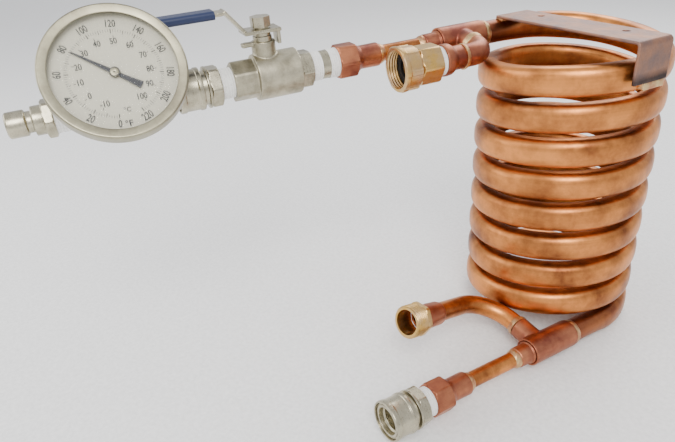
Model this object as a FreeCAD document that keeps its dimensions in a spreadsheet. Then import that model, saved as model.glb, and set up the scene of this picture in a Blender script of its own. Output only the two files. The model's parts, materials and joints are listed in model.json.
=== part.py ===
"""Counterflow wort chiller: a tube-in-tube copper coil hung from a two-hole bracket.

Row frame: origin between the bracket's two screw holes, on its top face; +X along the bracket, +Z up.
The hot wort leaves through the top arm (ball valve, quick coupling, dial thermometer) and enters
through the bottom arm.  Cooling water enters the jacket by the male hose fitting on the bottom tee
and leaves by the swivel hose nut on the top tee.

Both arms have a frame of their own: local X is horizontal towards +X, local Y is up, and local Z
runs outwards along the pipe.  Stations on an arm are distances from the bend where it leaves the coil.
"""
import FreeCAD, Part
import math
import os

Vector = FreeCAD.Vector
X_AXIS = Vector(1, 0, 0)
Y_AXIS = Vector(0, 1, 0)
Z_AXIS = Vector(0, 0, 1)

SIZES = {
    # coil
    "coil_radius": 63.8,
    "coil_pitch": 27.25,
    "half_turns": 17,
    "jacket_od": 19.05,
    "jacket_wall": 1.1,
    "wort_od": 12.7,
    "wort_wall": 0.9,
    "exit_bend_radius": 150.0,
    "top_splay_deg": 6.67,
    "top_slope_deg": -1.76,
    "bottom_splay_deg": -1.15,
    "bottom_slope_deg": 2.35,
    # bracket
    "bracket_left": -61.0,
    "bracket_length": 136.9,
    "bracket_width": 35.0,
    "bracket_middle": -8.3,
    "bracket_thick": 2.4,
    "bracket_leg": 30.0,
    "bracket_bend": 4.0,
    "bracket_gap": 1.475,
    "hole_spacing": 80.0,
    "hole_diameter": 5.2,
    "hole_middle_x": 6.7,
    "hole_middle_y": -3.1,
    # tees and reducers
    "tee_radius": 11.4,
    "socket_clearance": 0.05,
    "insert_depth": 12.0,
    "top_tee_start": 28.0,
    "top_tee_end": 70.5,
    "top_branch_at": 49.0,
    "bottom_tee_start": 36.0,
    "bottom_tee_end": 84.5,
    "bottom_branch_at": 69.0,
    "branch_tube_od": 15.9,
    "branch_radius": 9.3,
    "branch_root": 12.5,
    "outlet_reach": 19.0,
    "inlet_reach": 25.0,
    "reducer_radius": 8.3,
    "reducer_length": 13.5,
    "braze_length": 5.0,
    "braze_rise": 1.5,
    # pipe adapters and nipples
    "top_adapter_at": 125.4,
    "bottom_adapter_at": 151.2,
    "adapter_socket_radius": 9.0,
    "adapter_socket_length": 18.8,
    "adapter_hex_radius": 14.0,
    "adapter_hex_length": 17.2,
    "adapter_step_radius": 5.4,
    "nipple_radius": 10.67,
    "nipple_bore": 7.9,
    "thread_depth": 13.0,
    "tape_thick": 0.35,
    "tape_width": 7.5,
    # ball valve
    "valve_start": 183.2,
    "valve_cap_length": 10.3,
    "valve_barrel_length": 33.5,
    "valve_length": 61.3,
    "valve_barrel_radius": 16.9,
    "valve_hex_radius": 15.2,
    "valve_cap_hex_radius": 14.6,
    "stem_at": 217.0,
    "ball_radius": 11.6,
    "port_radius": 7.0,
    "cavity_radius": 12.5,
    "spigot_radius": 13.4,
    "neck_radius": 8.75,
    "neck_top": 26.0,
    "ear_length": 7.5,
    "ear_width": 6.0,
    "ear_height": 3.0,
    "gland_radius": 6.9,
    "gland_height": 3.4,
    "stem_radius": 4.0,
    "stem_clearance": 0.06,
    "stem_top": 41.8,
    "nut_top": 43.0,
    "collar_radius": 6.2,
    "lever_low": 32.3,
    "lever_thick": 2.5,
    "lever_hub_width": 18.0,
    "lever_hub_back": 12.6,
    "lever_rise_start": 14.6,
    "lever_rise_end": 27.0,
    "lever_high": 47.8,
    "lever_width": 13.0,
    "lever_reach": 103.0,
    "hook_drop": 9.5,
    "grip_start": 33.0,
    "grip_width": 16.4,
    "grip_height": 6.0,
    "grip_reach": 106.0,
    "grip_round": 2.6,
    "washer_height": 1.1,
    "washer_radius": 5.6,
    "nut_radius": 7.6,
    # quick couplings
    "upper_socket_at": 253.9,
    "lower_socket_at": 194.5,
    "coupler_hex_radius": 15.6,
    "coupler_hex_length": 8.5,
    "coupler_collar_radius": 15.0,
    "coupler_collar_length": 1.7,
    "coupler_neck_radius": 12.2,
    "coupler_neck_end": 30.5,
    "coupler_bore_radius": 8.88,
    "coupler_bore_floor": 9.8,
    "socket_thread": 9.0,
    "land_clearance": 0.35,
    "land_floor": 26.6,
    "oring_at": 18.5,
    "oring_section": 0.8,
    "oring_ring": 9.7,
    "ball_at": 24.7,
    "lock_ball_radius": 1.6,
    "upper_ball_ring": 9.3,
    "lower_ball_ring": 10.55,
    "lock_balls": 6,
    "snap_at": 28.9,
    "snap_thick": 1.5,
    "snap_radius": 13.4,
    "sleeve_back": 13.5,
    "sleeve_front": 31.5,
    "sleeve_radius": 14.8,
    "sleeve_clearance": 0.08,
    "sleeve_ridge_radius": 15.3,
    "sleeve_ridge_length": 3.0,
    "sleeve_mouth_radius": 13.8,
    "sleeve_mouth_depth": 4.5,
    "nose_radius": 8.8,
    "nose_length": 12.5,
    "groove_radius": 7.2,
    "groove_length": 4.2,
    "land_radius": 9.9,
    "land_length": 6.5,
    "plug_hex_radius": 13.8,
    "plug_hex_length": 6.5,
    "plug_thread_length": 19.0,
    "plug_bore": 5.8,
    # dial thermometer
    "head_at": 324.4,
    "head_tilt_deg": 37.7,
    "run_half": 29.5,
    "run_radius": 13.2,
    "band_radius": 14.9,
    "band_length": 9.0,
    "outer_plug_hex_at": 367.3,
    "branch_length": 28.0,
    "hub_tape": 2.5,
    "hub_hex_radius": 12.8,
    "hub_hex_length": 8.5,
    "hub_neck_radius": 9.0,
    "case_back": 43.0,
    "case_front": 50.0,
    "case_radius": 41.4,
    "case_wall": 1.0,
    "bezel_back": 47.6,
    "bezel_front": 56.8,
    "bezel_radius": 44.0,
    "bezel_window": 37.7,
    "bezel_slope": 1.6,
    "glass_back": 54.2,
    "dial_back": 49.6,
    "dial_thick": 0.8,
    "dial_hole": 1.3,
    "glass_thick": 1.6,
    "probe_radius": 3.2,
    "probe_end": -8.0,
    "needle_low": 51.6,
    "needle_thick": 0.5,
    "needle_reach": 27.8,
    "needle_tail": 17.5,
    "needle_width": 3.0,
    "needle_tail_width": 4.8,
    "needle_deg": 141.0,
    "pointer_hub_radius": 3.2,
    "spindle_radius": 0.9,
    # water outlet: elbow and swivel hose nut
    "outlet_branch_deg": -5.9,
    "elbow_offset": 38.0,
    "elbow_bend": 14.0,
    "elbow_end": 22.0,
    "elbow_radius": 8.9,
    "elbow_bore": 6.9,
    "outlet_cup_radius": 9.1,
    "outlet_flare_at": 31.0,
    "outlet_flare_end": 36.0,
    "outlet_flare_radius": 12.1,
    "outlet_cup_end": 41.0,
    "tail_hex_start": 45.4,
    "tail_hex_end": 64.1,
    "tail_hex_radius": 15.7,
    "tail_neck_radius": 11.4,
    "tail_flange_radius": 12.9,
    "tail_flange_start": 67.7,
    "tail_flange_end": 69.4,
    "hose_bore": 8.0,
    "hose_nut_start": 64.5,
    "hose_nut_end": 80.0,
    "hose_nut_radius": 16.2,
    "hose_nut_rim": 16.9,
    "hose_nut_lip": 2.9,
    "hose_nut_relief": 13.9,
    "hose_thread_start": 71.8,
    "hose_rim_length": 4.0,
    "hose_thread_bore": 13.6,
    "hose_washer_thick": 2.2,
    "hose_lug_width": 5.0,
    "hose_lug_rise": 1.0,
    "hose_lugs": 6,
    # water inlet: bent tube and male hose fitting
    "inlet_branch_deg": 8.7,
    "inlet_twist_deg": 14.0,
    "inlet_straight": 30.4,
    "inlet_bend_radius": 32.6,
    "inlet_bend_deg": 96.6,
    "inlet_run": 40.0,
    "inlet_wall": 1.0,
    "cup_radius": 9.8,
    "cup_length": 12.0,
    "cup_overlap": 10.0,
    "male_flange_radius": 14.4,
    "male_flange_length": 5.5,
    "male_thread_radius": 13.4,
    "male_thread_length": 11.5,
    "male_bore": 10.3,
}

doc = FreeCAD.newDocument("counterflow_wort_chiller")
sheet = doc.addObject("Spreadsheet::Sheet", "Sizes")
for row, (alias, number) in enumerate(SIZES.items(), start=1):
    sheet.set("A%d" % row, alias)
    sheet.set("B%d" % row, str(number))
    sheet.setAlias("B%d" % row, alias)
doc.recompute()

nodes = []


def size(alias):
    """The number in the cell of this name."""
    return float(sheet.get(alias))


def bound(obj, **properties):
    """Binds each property to an expression of the sheet's cells, written with bare aliases."""
    for name, words in properties.items():
        parts = words.split()
        obj.setExpression(name, " ".join("Sizes." + p if p in SIZES else p for p in parts))
    return obj


def node(obj, name, placement=None):
    """Names a finished sub-part and puts it in its place."""
    obj.Label = name
    if placement is not None:
        obj.Placement = placement
    nodes.append(obj)
    return obj


def cylinder(name, radius, length, at=0.0, **rest):
    obj = bound(doc.addObject("Part::Cylinder", name), Radius=radius, Height=length, **rest)
    obj.Placement.Base = Vector(0, 0, at)
    return obj


def cone(name, first, second, length, at=0.0):
    obj = bound(doc.addObject("Part::Cone", name), Radius1=first, Radius2=second, Height=length)
    obj.Placement.Base = Vector(0, 0, at)
    return obj


def hexagon(name, corner_radius, length, at=0.0, turn=0.0):
    """A hexagonal prism whose corners are blunted by a cylinder a little smaller than its corners."""
    prism = doc.addObject("Part::Prism", name + "_prism")
    prism.Polygon = 6
    bound(prism, Circumradius=corner_radius, Height=length)
    prism.Placement = FreeCAD.Placement(Vector(0, 0, at), FreeCAD.Rotation(Z_AXIS, turn))
    round_bar = cylinder(name + "_round", corner_radius + " * 0.965", length, at)
    return common(name, prism, round_bar)


def torus(name, ring, section, at=0.0):
    obj = bound(doc.addObject("Part::Torus", name), Radius1=ring, Radius2=section)
    obj.Placement.Base = Vector(0, 0, at)
    return obj


def box(name, length, width, height, corner):
    obj = bound(doc.addObject("Part::Box", name), Length=length, Width=width, Height=height)
    obj.Placement.Base = corner
    return obj


def fuse(name, *pieces):
    obj = doc.addObject("Part::MultiFuse", name)
    obj.Shapes = list(pieces)
    obj.Refine = True
    return obj


def common(name, first, second):
    obj = doc.addObject("Part::Common", name)
    obj.Base = first
    obj.Tool = second
    return obj


def cut(name, base, *tools):
    """The base with every tool taken away from it."""
    obj = doc.addObject("Part::Cut", name)
    obj.Base = base
    obj.Tool = tools[0] if len(tools) == 1 else fuse(name + "_tools", *tools)
    return obj


def group(name, *pieces):
    """Several separate solids of one kind, kept in one node."""
    obj = doc.addObject("Part::Compound", name)
    obj.Links = list(pieces)
    return obj


def ring(name, outer, inner, length, at=0.0):
    return cut(name, cylinder(name + "_out", outer, length, at), cylinder(name + "_in", inner, length, at))


def turned(obj, axis, angle_deg, at=Vector(0, 0, 0)):
    """Turns an object about an axis through the local origin, then moves it."""
    obj.Placement = FreeCAD.Placement(at, FreeCAD.Rotation(axis, angle_deg)).multiply(obj.Placement)
    return obj


def shape_node(name, shape):
    obj = doc.addObject("Part::Feature", name)
    obj.Shape = shape
    return obj


def axis_frame(origin, outward, side):
    """A placement whose local Z is outward and whose local X is side, made square to it."""
    z_dir = Vector(outward).normalize()
    x_dir = Vector(side) - z_dir * z_dir.dot(side)
    x_dir.normalize()
    y_dir = z_dir.cross(x_dir)
    return FreeCAD.Placement(origin, FreeCAD.Rotation(x_dir, y_dir, z_dir, "ZXY"))


# ---------------------------------------------------------------- frames of the coil and the arms

radius = size("coil_radius")
pitch = size("coil_pitch")
top_height = size("half_turns") * pitch / 2
bracket_top = top_height + size("jacket_od") / 2 + size("bracket_gap") + size("bracket_thick")
coil_axis = Vector(-size("hole_middle_x"), -size("hole_middle_y"), -bracket_top)


def heading(splay_deg, slope_deg):
    """A direction close to -Y, turned towards -X by the splay and raised by the slope."""
    splay = math.radians(splay_deg)
    slope = math.radians(slope_deg)
    flat = math.cos(slope)
    return Vector(-math.sin(splay) * flat, -math.cos(splay) * flat, math.sin(slope))


def bend_tangent(outward):
    """Distance from a bend's corner to its ends, between the -Y direction and outward."""
    turn = Vector(0, -1, 0).getAngle(outward)
    return size("exit_bend_radius") * math.tan(turn / 2)


top_out = heading(size("top_splay_deg"), size("top_slope_deg"))
bottom_out = heading(size("bottom_splay_deg"), size("bottom_slope_deg"))
top_corner = coil_axis + Vector(-radius, -bend_tangent(top_out), top_height)
bottom_corner = coil_axis + Vector(radius, -bend_tangent(bottom_out), 0)
top_arm = axis_frame(top_corner, top_out, X_AXIS)
bottom_arm = axis_frame(bottom_corner, bottom_out, X_AXIS)


def on_arm(arm, station):
    """The arm's frame moved outwards to a station."""
    return arm.multiply(FreeCAD.Placement(Vector(0, 0, station), FreeCAD.Rotation()))


# ---------------------------------------------------------------- coil


def coil_path(bottom_end, top_end):
    """Straight run, bend, half turns and bend again, each piece tangent to the next.

    Every half turn is a circular arc in a plane that is tilted so that the arc climbs half a pitch
    while it starts and ends level, along Y.
    """
    edges = []
    run_in = bottom_arm.multVec(Vector(0, 0, bottom_end))
    edges += exit_bend(bottom_corner, bottom_out, run_in)[::-1]
    for turn in range(int(size("half_turns"))):
        low = coil_axis + Vector(0, 0, turn * pitch / 2)
        side = 1 if turn % 2 == 0 else -1
        middle_radius = math.hypot(radius, pitch / 4)
        start = low + Vector(side * radius, 0, 0)
        middle = low + Vector(0, side * middle_radius, pitch / 4)
        finish = low + Vector(-side * radius, 0, pitch / 2)
        edges.append(Part.Arc(start, middle, finish).toShape())
    edges += exit_bend(top_corner, top_out, top_arm.multVec(Vector(0, 0, top_end)))
    return Part.Wire(edges)


def exit_bend(corner, outward, end):
    """The arc that turns from -Y to outward about a corner, and the straight run to the end."""
    reach = bend_tangent(outward)
    first = corner + Vector(0, reach, 0)
    last = corner + outward * reach
    chord_middle = (first + last) * 0.5
    inward = (chord_middle - corner).normalize()
    turn = Vector(0, -1, 0).getAngle(outward)
    sagitta = size("exit_bend_radius") * (1 - math.cos(turn / 2))
    middle = chord_middle - inward * sagitta
    return [Part.Arc(first, middle, last).toShape(), Part.LineSegment(last, end).toShape()]


def pipe(path, start, along, outer, inner=0.0):
    """A round pipe swept along a path, hollow when it has an inner radius."""
    disc = Part.Face(Part.Wire(Part.Circle(start, along, outer).toShape()))
    solid = path.makePipe(disc)
    if not inner:
        return solid
    core = path.makePipe(Part.Face(Part.Wire(Part.Circle(start, along, inner).toShape())))
    return solid.cut(core)


jacket_low = size("bottom_tee_start") + size("insert_depth")
jacket_high = size("top_tee_start") + size("insert_depth")
jacket_path = coil_path(jacket_low, jacket_high)
jacket_start = bottom_arm.multVec(Vector(0, 0, jacket_low))
jacket_radius = size("jacket_od") / 2
jacket_bar = pipe(jacket_path, jacket_start, bottom_out, jacket_radius)
jacket = pipe(jacket_path, jacket_start, bottom_out, jacket_radius, jacket_radius - size("jacket_wall"))
node(shape_node("outer_coil", jacket), "outer_coil")

# The wort tube is cut inside the two reducers: one length in the jacket, a bare length on each arm.
wort_low = size("bottom_tee_end")
wort_path = coil_path(wort_low, size("top_tee_end"))
wort_start = bottom_arm.multVec(Vector(0, 0, wort_low))
wort_radius = size("wort_od") / 2
wort = pipe(wort_path, wort_start, bottom_out, wort_radius, wort_radius - size("wort_wall"))
node(shape_node("inner_tube", wort), "inner_tube")


def bare_tube(name, cut_at, adapter_at, arm):
    """The bare length of the wort tube, from the cut in its reducer into its adapter."""
    length = adapter_at + " + insert_depth - " + cut_at
    return node(ring(name, "wort_od / 2", "wort_od / 2 - wort_wall", length, size(cut_at)), name, arm)


bare_tube("top_wort_tube", "top_tee_end", "top_adapter_at", top_arm)
bare_tube("bottom_wort_tube", "bottom_tee_end", "bottom_adapter_at", bottom_arm)


# ---------------------------------------------------------------- copper fittings on both arms


def tee(name, start, end, branch_at, reach, branch_deg, arm):
    """A copper tee: run, branch and their bores, the branch turned about the run by branch_deg."""
    run = cylinder(name + "_run", "tee_radius", end + " - " + start, size(start))
    middle = Vector(0, 0, size(branch_at))
    branch = turned(cylinder(name + "_arm", "branch_radius", reach), Y_AXIS, 90)
    branch = turned(branch, Z_AXIS, branch_deg, middle)
    outside = fuse(name + "_outside", run, branch)
    bore = cylinder(
        name + "_bore", "jacket_od / 2 + socket_clearance", end + " - " + start, size(start)
    )
    side = turned(
        cylinder(name + "_side", "branch_tube_od / 2 + socket_clearance", reach), Y_AXIS, 90
    )
    side = turned(side, Z_AXIS, branch_deg, middle)
    return node(cut(name, outside, bore, side), name, arm)


def reducer(name, tee_end, arm):
    """The bush that closes the jacket around the wort tube at the outer end of a tee."""
    end = size(tee_end)
    depth = size("insert_depth")
    inside = cylinder(name + "_inside", "jacket_od / 2", "insert_depth", end - depth)
    outside = cylinder(name + "_outside", "reducer_radius", "reducer_length", end)
    body = fuse(name + "_body", inside, outside)
    hole = cylinder(
        name + "_hole",
        "wort_od / 2 + socket_clearance",
        "insert_depth + reducer_length",
        end - depth,
    )
    return node(cut(name, body, hole), name, arm)


def adapter(name, start, arm):
    """A copper solder-to-thread adapter: round socket, hexagonal threaded end."""
    at = size(start)
    socket_end = at + size("adapter_socket_length")
    socket = cylinder(name + "_socket", "adapter_socket_radius", "adapter_socket_length", at)
    flats = hexagon(name + "_flats", "adapter_hex_radius", "adapter_hex_length", socket_end, 30)
    body = fuse(name + "_body", socket, flats)
    hole = cylinder(
        name + "_hole", "wort_od / 2 + socket_clearance", "insert_depth + socket_clearance", at
    )
    through = cylinder(
        name + "_through", "adapter_step_radius", "adapter_socket_length + adapter_hex_length", at
    )
    thread_at = socket_end + size("adapter_hex_length") - size("thread_depth")
    thread = cylinder(
        name + "_thread", "nipple_radius + socket_clearance", "thread_depth", thread_at
    )
    return node(cut(name, body, hole, through, thread), name, arm)


tee(
    "top_tee",
    "top_tee_start",
    "top_tee_end",
    "top_branch_at",
    "outlet_reach",
    size("outlet_branch_deg"),
    top_arm,
)
tee(
    "bottom_tee",
    "bottom_tee_start",
    "bottom_tee_end",
    "bottom_branch_at",
    "inlet_reach",
    180 - size("inlet_branch_deg"),
    bottom_arm,
)
reducer("top_reducer", "top_tee_end", top_arm)
reducer("bottom_reducer", "bottom_tee_end", bottom_arm)
adapter("top_adapter", "top_adapter_at", top_arm)
adapter("bottom_adapter", "bottom_adapter_at", bottom_arm)

adapter_length = size("adapter_socket_length") + size("adapter_hex_length")
top_adapter_end = size("top_adapter_at") + adapter_length
bottom_adapter_end = size("bottom_adapter_at") + adapter_length
valve_end = size("valve_start") + size("valve_length")


def nipple(name, first_end, second_end, arm):
    """A threaded pipe nipple between two stations, both of them inside the fittings it joins."""
    outside = bound(doc.addObject("Part::Cylinder", name + "_out"), Radius="nipple_radius")
    inside = bound(doc.addObject("Part::Cylinder", name + "_in"), Radius="nipple_bore")
    for bar in (outside, inside):
        bar.Height = second_end - first_end
        bar.Placement.Base = Vector(0, 0, first_end)
    return node(cut(name, outside, inside), name, arm)


def tape(name, start, length):
    """A wrap of thread-seal tape on a nipple, from a station for a length."""
    outside = doc.addObject("Part::Cylinder", name + "_out")
    bound(outside, Radius="nipple_radius + socket_clearance + tape_thick")
    inside = doc.addObject("Part::Cylinder", name + "_in")
    bound(inside, Radius="nipple_radius + socket_clearance")
    for bar in (outside, inside):
        bar.Height = length
        bar.Placement.Base = Vector(0, 0, start)
    return cut(name, outside, inside)


in_thread = size("thread_depth") - 1.0
in_socket = size("socket_thread") - 1.0
upper_socket_at = size("upper_socket_at")
lower_socket_at = size("lower_socket_at")
nipple("upper_nipple", top_adapter_end - in_thread, size("valve_start") + in_thread, top_arm)
nipple("valve_nipple", valve_end - in_thread, upper_socket_at + in_socket, top_arm)
nipple("lower_nipple", bottom_adapter_end - in_thread, lower_socket_at + in_socket, bottom_arm)
tape_width = size("tape_width")
node(
    group(
        "top_tape",
        tape("tape_at_adapter", top_adapter_end, tape_width),
        tape("tape_at_valve", size("valve_start") - tape_width, tape_width),
        tape("tape_at_coupling", valve_end, upper_socket_at - valve_end),
    ),
    "top_tape",
    top_arm,
)
lower_tape = tape("bottom_tape", bottom_adapter_end, lower_socket_at - bottom_adapter_end)
node(lower_tape, "bottom_tape", bottom_arm)


# ---------------------------------------------------------------- ball valve


def upright(obj, height):
    """Stands an object made along local Z on the arm's local Y at the stem, from a height."""
    return turned(obj, X_AXIS, -90, Vector(0, height, size("stem_at")))


stem_at = size("stem_at")
valve_start = size("valve_start")
barrel_start = valve_start + size("valve_cap_length")
barrel_end = barrel_start + size("valve_barrel_length")
cavity_start = stem_at - size("cavity_radius")

barrel = cylinder("valve_barrel", "valve_barrel_radius", "valve_barrel_length", barrel_start)
flats = hexagon(
    "valve_flats",
    "valve_hex_radius",
    "valve_length - valve_cap_length - valve_barrel_length",
    barrel_end,
    30,
)
neck = upright(cylinder("valve_neck", "neck_radius", "neck_top"), 0)
ear = box(
    "valve_ear",
    "ear_width",
    "ear_height",
    "ear_length + 2",
    Vector(
        -size("ear_width") / 2,
        size("neck_top") - size("ear_height"),
        stem_at + size("neck_radius") - 2,
    ),
)
valve_outside = fuse("valve_outside", barrel, flats, neck, ear)
spigot_hole = cylinder(
    "spigot_hole",
    "spigot_radius + socket_clearance",
    "stem_at - cavity_radius - valve_start - valve_cap_length",
    barrel_start,
)
cavity = cylinder("cavity", "cavity_radius", "2 * cavity_radius", cavity_start)
port = cylinder("valve_port", "port_radius", "valve_length", valve_start)
outlet_thread = cylinder(
    "outlet_thread",
    "nipple_radius + socket_clearance",
    "thread_depth",
    valve_end - size("thread_depth"),
)
stem_hole = upright(
    cylinder("stem_hole", "stem_radius + stem_clearance", "neck_top"), 0
)
node(
    cut("valve_body", valve_outside, spigot_hole, cavity, port, outlet_thread, stem_hole),
    "valve_body",
    top_arm,
)

cap_flats = hexagon("cap_flats", "valve_cap_hex_radius", "valve_cap_length", valve_start, 30)
spigot = cylinder(
    "spigot",
    "spigot_radius",
    "stem_at - cavity_radius - valve_start - valve_cap_length",
    barrel_start,
)
inlet_thread = cylinder(
    "inlet_thread", "nipple_radius + socket_clearance", "thread_depth", valve_start
)
cap_port = cylinder("cap_port", "port_radius", "valve_length", valve_start)
node(
    cut("valve_end_cap", fuse("cap_outside", cap_flats, spigot), inlet_thread, cap_port),
    "valve_end_cap",
    top_arm,
)


def seat(name, start):
    """A seat ring that fills the end of the cavity and follows the ball."""
    disc = cylinder(name + "_disc", "cavity_radius", "cavity_radius / 4", start)
    hole = cylinder(name + "_hole", "port_radius", "cavity_radius / 4", start)
    ball = bound(doc.addObject("Part::Sphere", name + "_ball"), Radius="ball_radius + stem_clearance")
    ball.Placement.Base = Vector(0, 0, stem_at)
    return cut(name, disc, hole, ball)


node(
    group(
        "ball_seats",
        seat("inlet_seat", cavity_start),
        seat("outlet_seat", stem_at + size("cavity_radius") * 3 / 4),
    ),
    "ball_seats",
    top_arm,
)
gland = upright(
    ring("stem_gland", "gland_radius", "stem_radius + stem_clearance", "gland_height"),
    size("neck_top"),
)
node(gland, "stem_gland", top_arm.multiply(gland.Placement))

ball_bar = bound(doc.addObject("Part::Sphere", "ball_bar"), Radius="ball_radius")
ball_bar.Placement.Base = Vector(0, 0, stem_at)
ball_port = cylinder("ball_port", "port_radius", "2 * ball_radius", stem_at - size("ball_radius"))
node(cut("valve_ball", ball_bar, ball_port), "valve_ball", top_arm)

stem_bar = upright(cylinder("stem_bar", "stem_radius", "stem_top - ball_radius"), size("ball_radius"))
collar_low = size("neck_top") + size("gland_height") + 0.4
stem_collar = upright(
    cylinder("stem_collar", "collar_radius", "lever_low - neck_top - gland_height - 0.4"), collar_low
)
node(fuse("valve_stem", stem_bar, stem_collar), "valve_stem", top_arm)

half_hub = size("lever_hub_width") / 2
hub_plate = box(
    "hub_plate",
    "lever_hub_width",
    "lever_thick",
    "lever_hub_back + lever_rise_start",
    Vector(-half_hub, size("lever_low"), stem_at - size("lever_hub_back")),
)
hook = box(
    "hook",
    "lever_hub_width * 0.6",
    "hook_drop",
    "lever_thick",
    Vector(
        -half_hub * 0.6,
        size("lever_low") - size("hook_drop"),
        stem_at - size("lever_hub_back"),
    ),
)
rise_height = size("lever_high") - size("lever_low")
rise_run = size("lever_rise_end") - size("lever_rise_start")
rise = doc.addObject("Part::Box", "rise")
bound(rise, Length="lever_width", Width="lever_thick")
rise.Height = math.hypot(rise_height, rise_run) + size("lever_thick")
rise_angle = math.degrees(math.atan2(rise_height, rise_run))
rise.Placement = FreeCAD.Placement(
    Vector(
        -size("lever_width") / 2,
        size("lever_low"),
        stem_at + size("lever_rise_start") - size("lever_thick") / 2,
    ),
    FreeCAD.Rotation(X_AXIS, -rise_angle),
)
handle = box(
    "handle",
    "lever_width",
    "lever_thick",
    "lever_reach - lever_rise_end",
    Vector(-size("lever_width") / 2, size("lever_high"), stem_at + size("lever_rise_end")),
)
lever_hole = upright(cylinder("lever_hole", "stem_radius", "lever_high"), 0)
node(
    cut("lever_plate", fuse("lever_outside", hub_plate, hook, rise, handle), lever_hole),
    "lever_plate",
    top_arm,
)

grip_low = size("lever_high") + size("lever_thick") / 2 - size("grip_height") / 2
grip_box = box(
    "grip_box",
    "grip_width",
    "grip_height",
    "grip_reach - grip_start",
    Vector(-size("grip_width") / 2, grip_low, stem_at + size("grip_start")),
)
doc.recompute()
grip = doc.addObject("Part::Fillet", "grip_rounded")
grip.Base = grip_box
long_edges = []
for index, edge in enumerate(grip_box.Shape.Edges, start=1):
    span = edge.Vertexes[1].Point - edge.Vertexes[0].Point
    if abs(span.z) > size("grip_height") * 2:
        long_edges.append((index, size("grip_round"), size("grip_round")))
grip.Edges = long_edges
grip_hole = box(
    "grip_hole",
    "lever_width",
    "lever_thick",
    "lever_reach - grip_start",
    Vector(-size("lever_width") / 2, size("lever_high"), stem_at + size("grip_start")),
)
node(cut("lever_sleeve", grip, grip_hole), "lever_sleeve", top_arm)

plate_top = size("lever_low") + size("lever_thick")
washer = upright(ring("lever_washer", "washer_radius", "stem_radius", "washer_height"), plate_top)
node(washer, "lever_washer", top_arm.multiply(washer.Placement))
nut_low = plate_top + size("washer_height")
nut_bar = hexagon(
    "nut_bar", "nut_radius", "nut_top - lever_low - lever_thick - washer_height"
)
nut_hole = cylinder(
    "nut_hole", "stem_radius", "stem_top - lever_low - lever_thick - washer_height"
)
nut = upright(cut("lever_nut", nut_bar, nut_hole), nut_low)
node(nut, "lever_nut", top_arm.multiply(nut.Placement))


# ---------------------------------------------------------------- quick couplings


def around(obj, count, name):
    """Copies of an object in equal steps about local Z, as one tool."""
    copies = [obj]
    for step in range(1, count):
        copy = doc.addObject("Part::Feature", "%s_%d" % (name, step))
        shape = obj.Shape.copy()
        shape.rotate(Vector(0, 0, 0), Z_AXIS, 360.0 * step / count)
        copy.Shape = shape
        copies.append(copy)
    return copies


def ball_ring(name, ball_circle, at):
    """The lock balls on a circle round the neck of a socket, or the holes they sit in."""
    if ball_circle:
        first = bound(doc.addObject("Part::Sphere", name), Radius="lock_ball_radius")
        first.Placement.Base = Vector(ball_circle, 0, at)
    else:
        first = cylinder(name, "lock_ball_radius + socket_clearance", "coupler_neck_radius")
        first = turned(first, Y_AXIS, 90, Vector(size("nose_radius") - 2, 0, at))
    doc.recompute()
    return around(first, int(size("lock_balls")), name)


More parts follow.
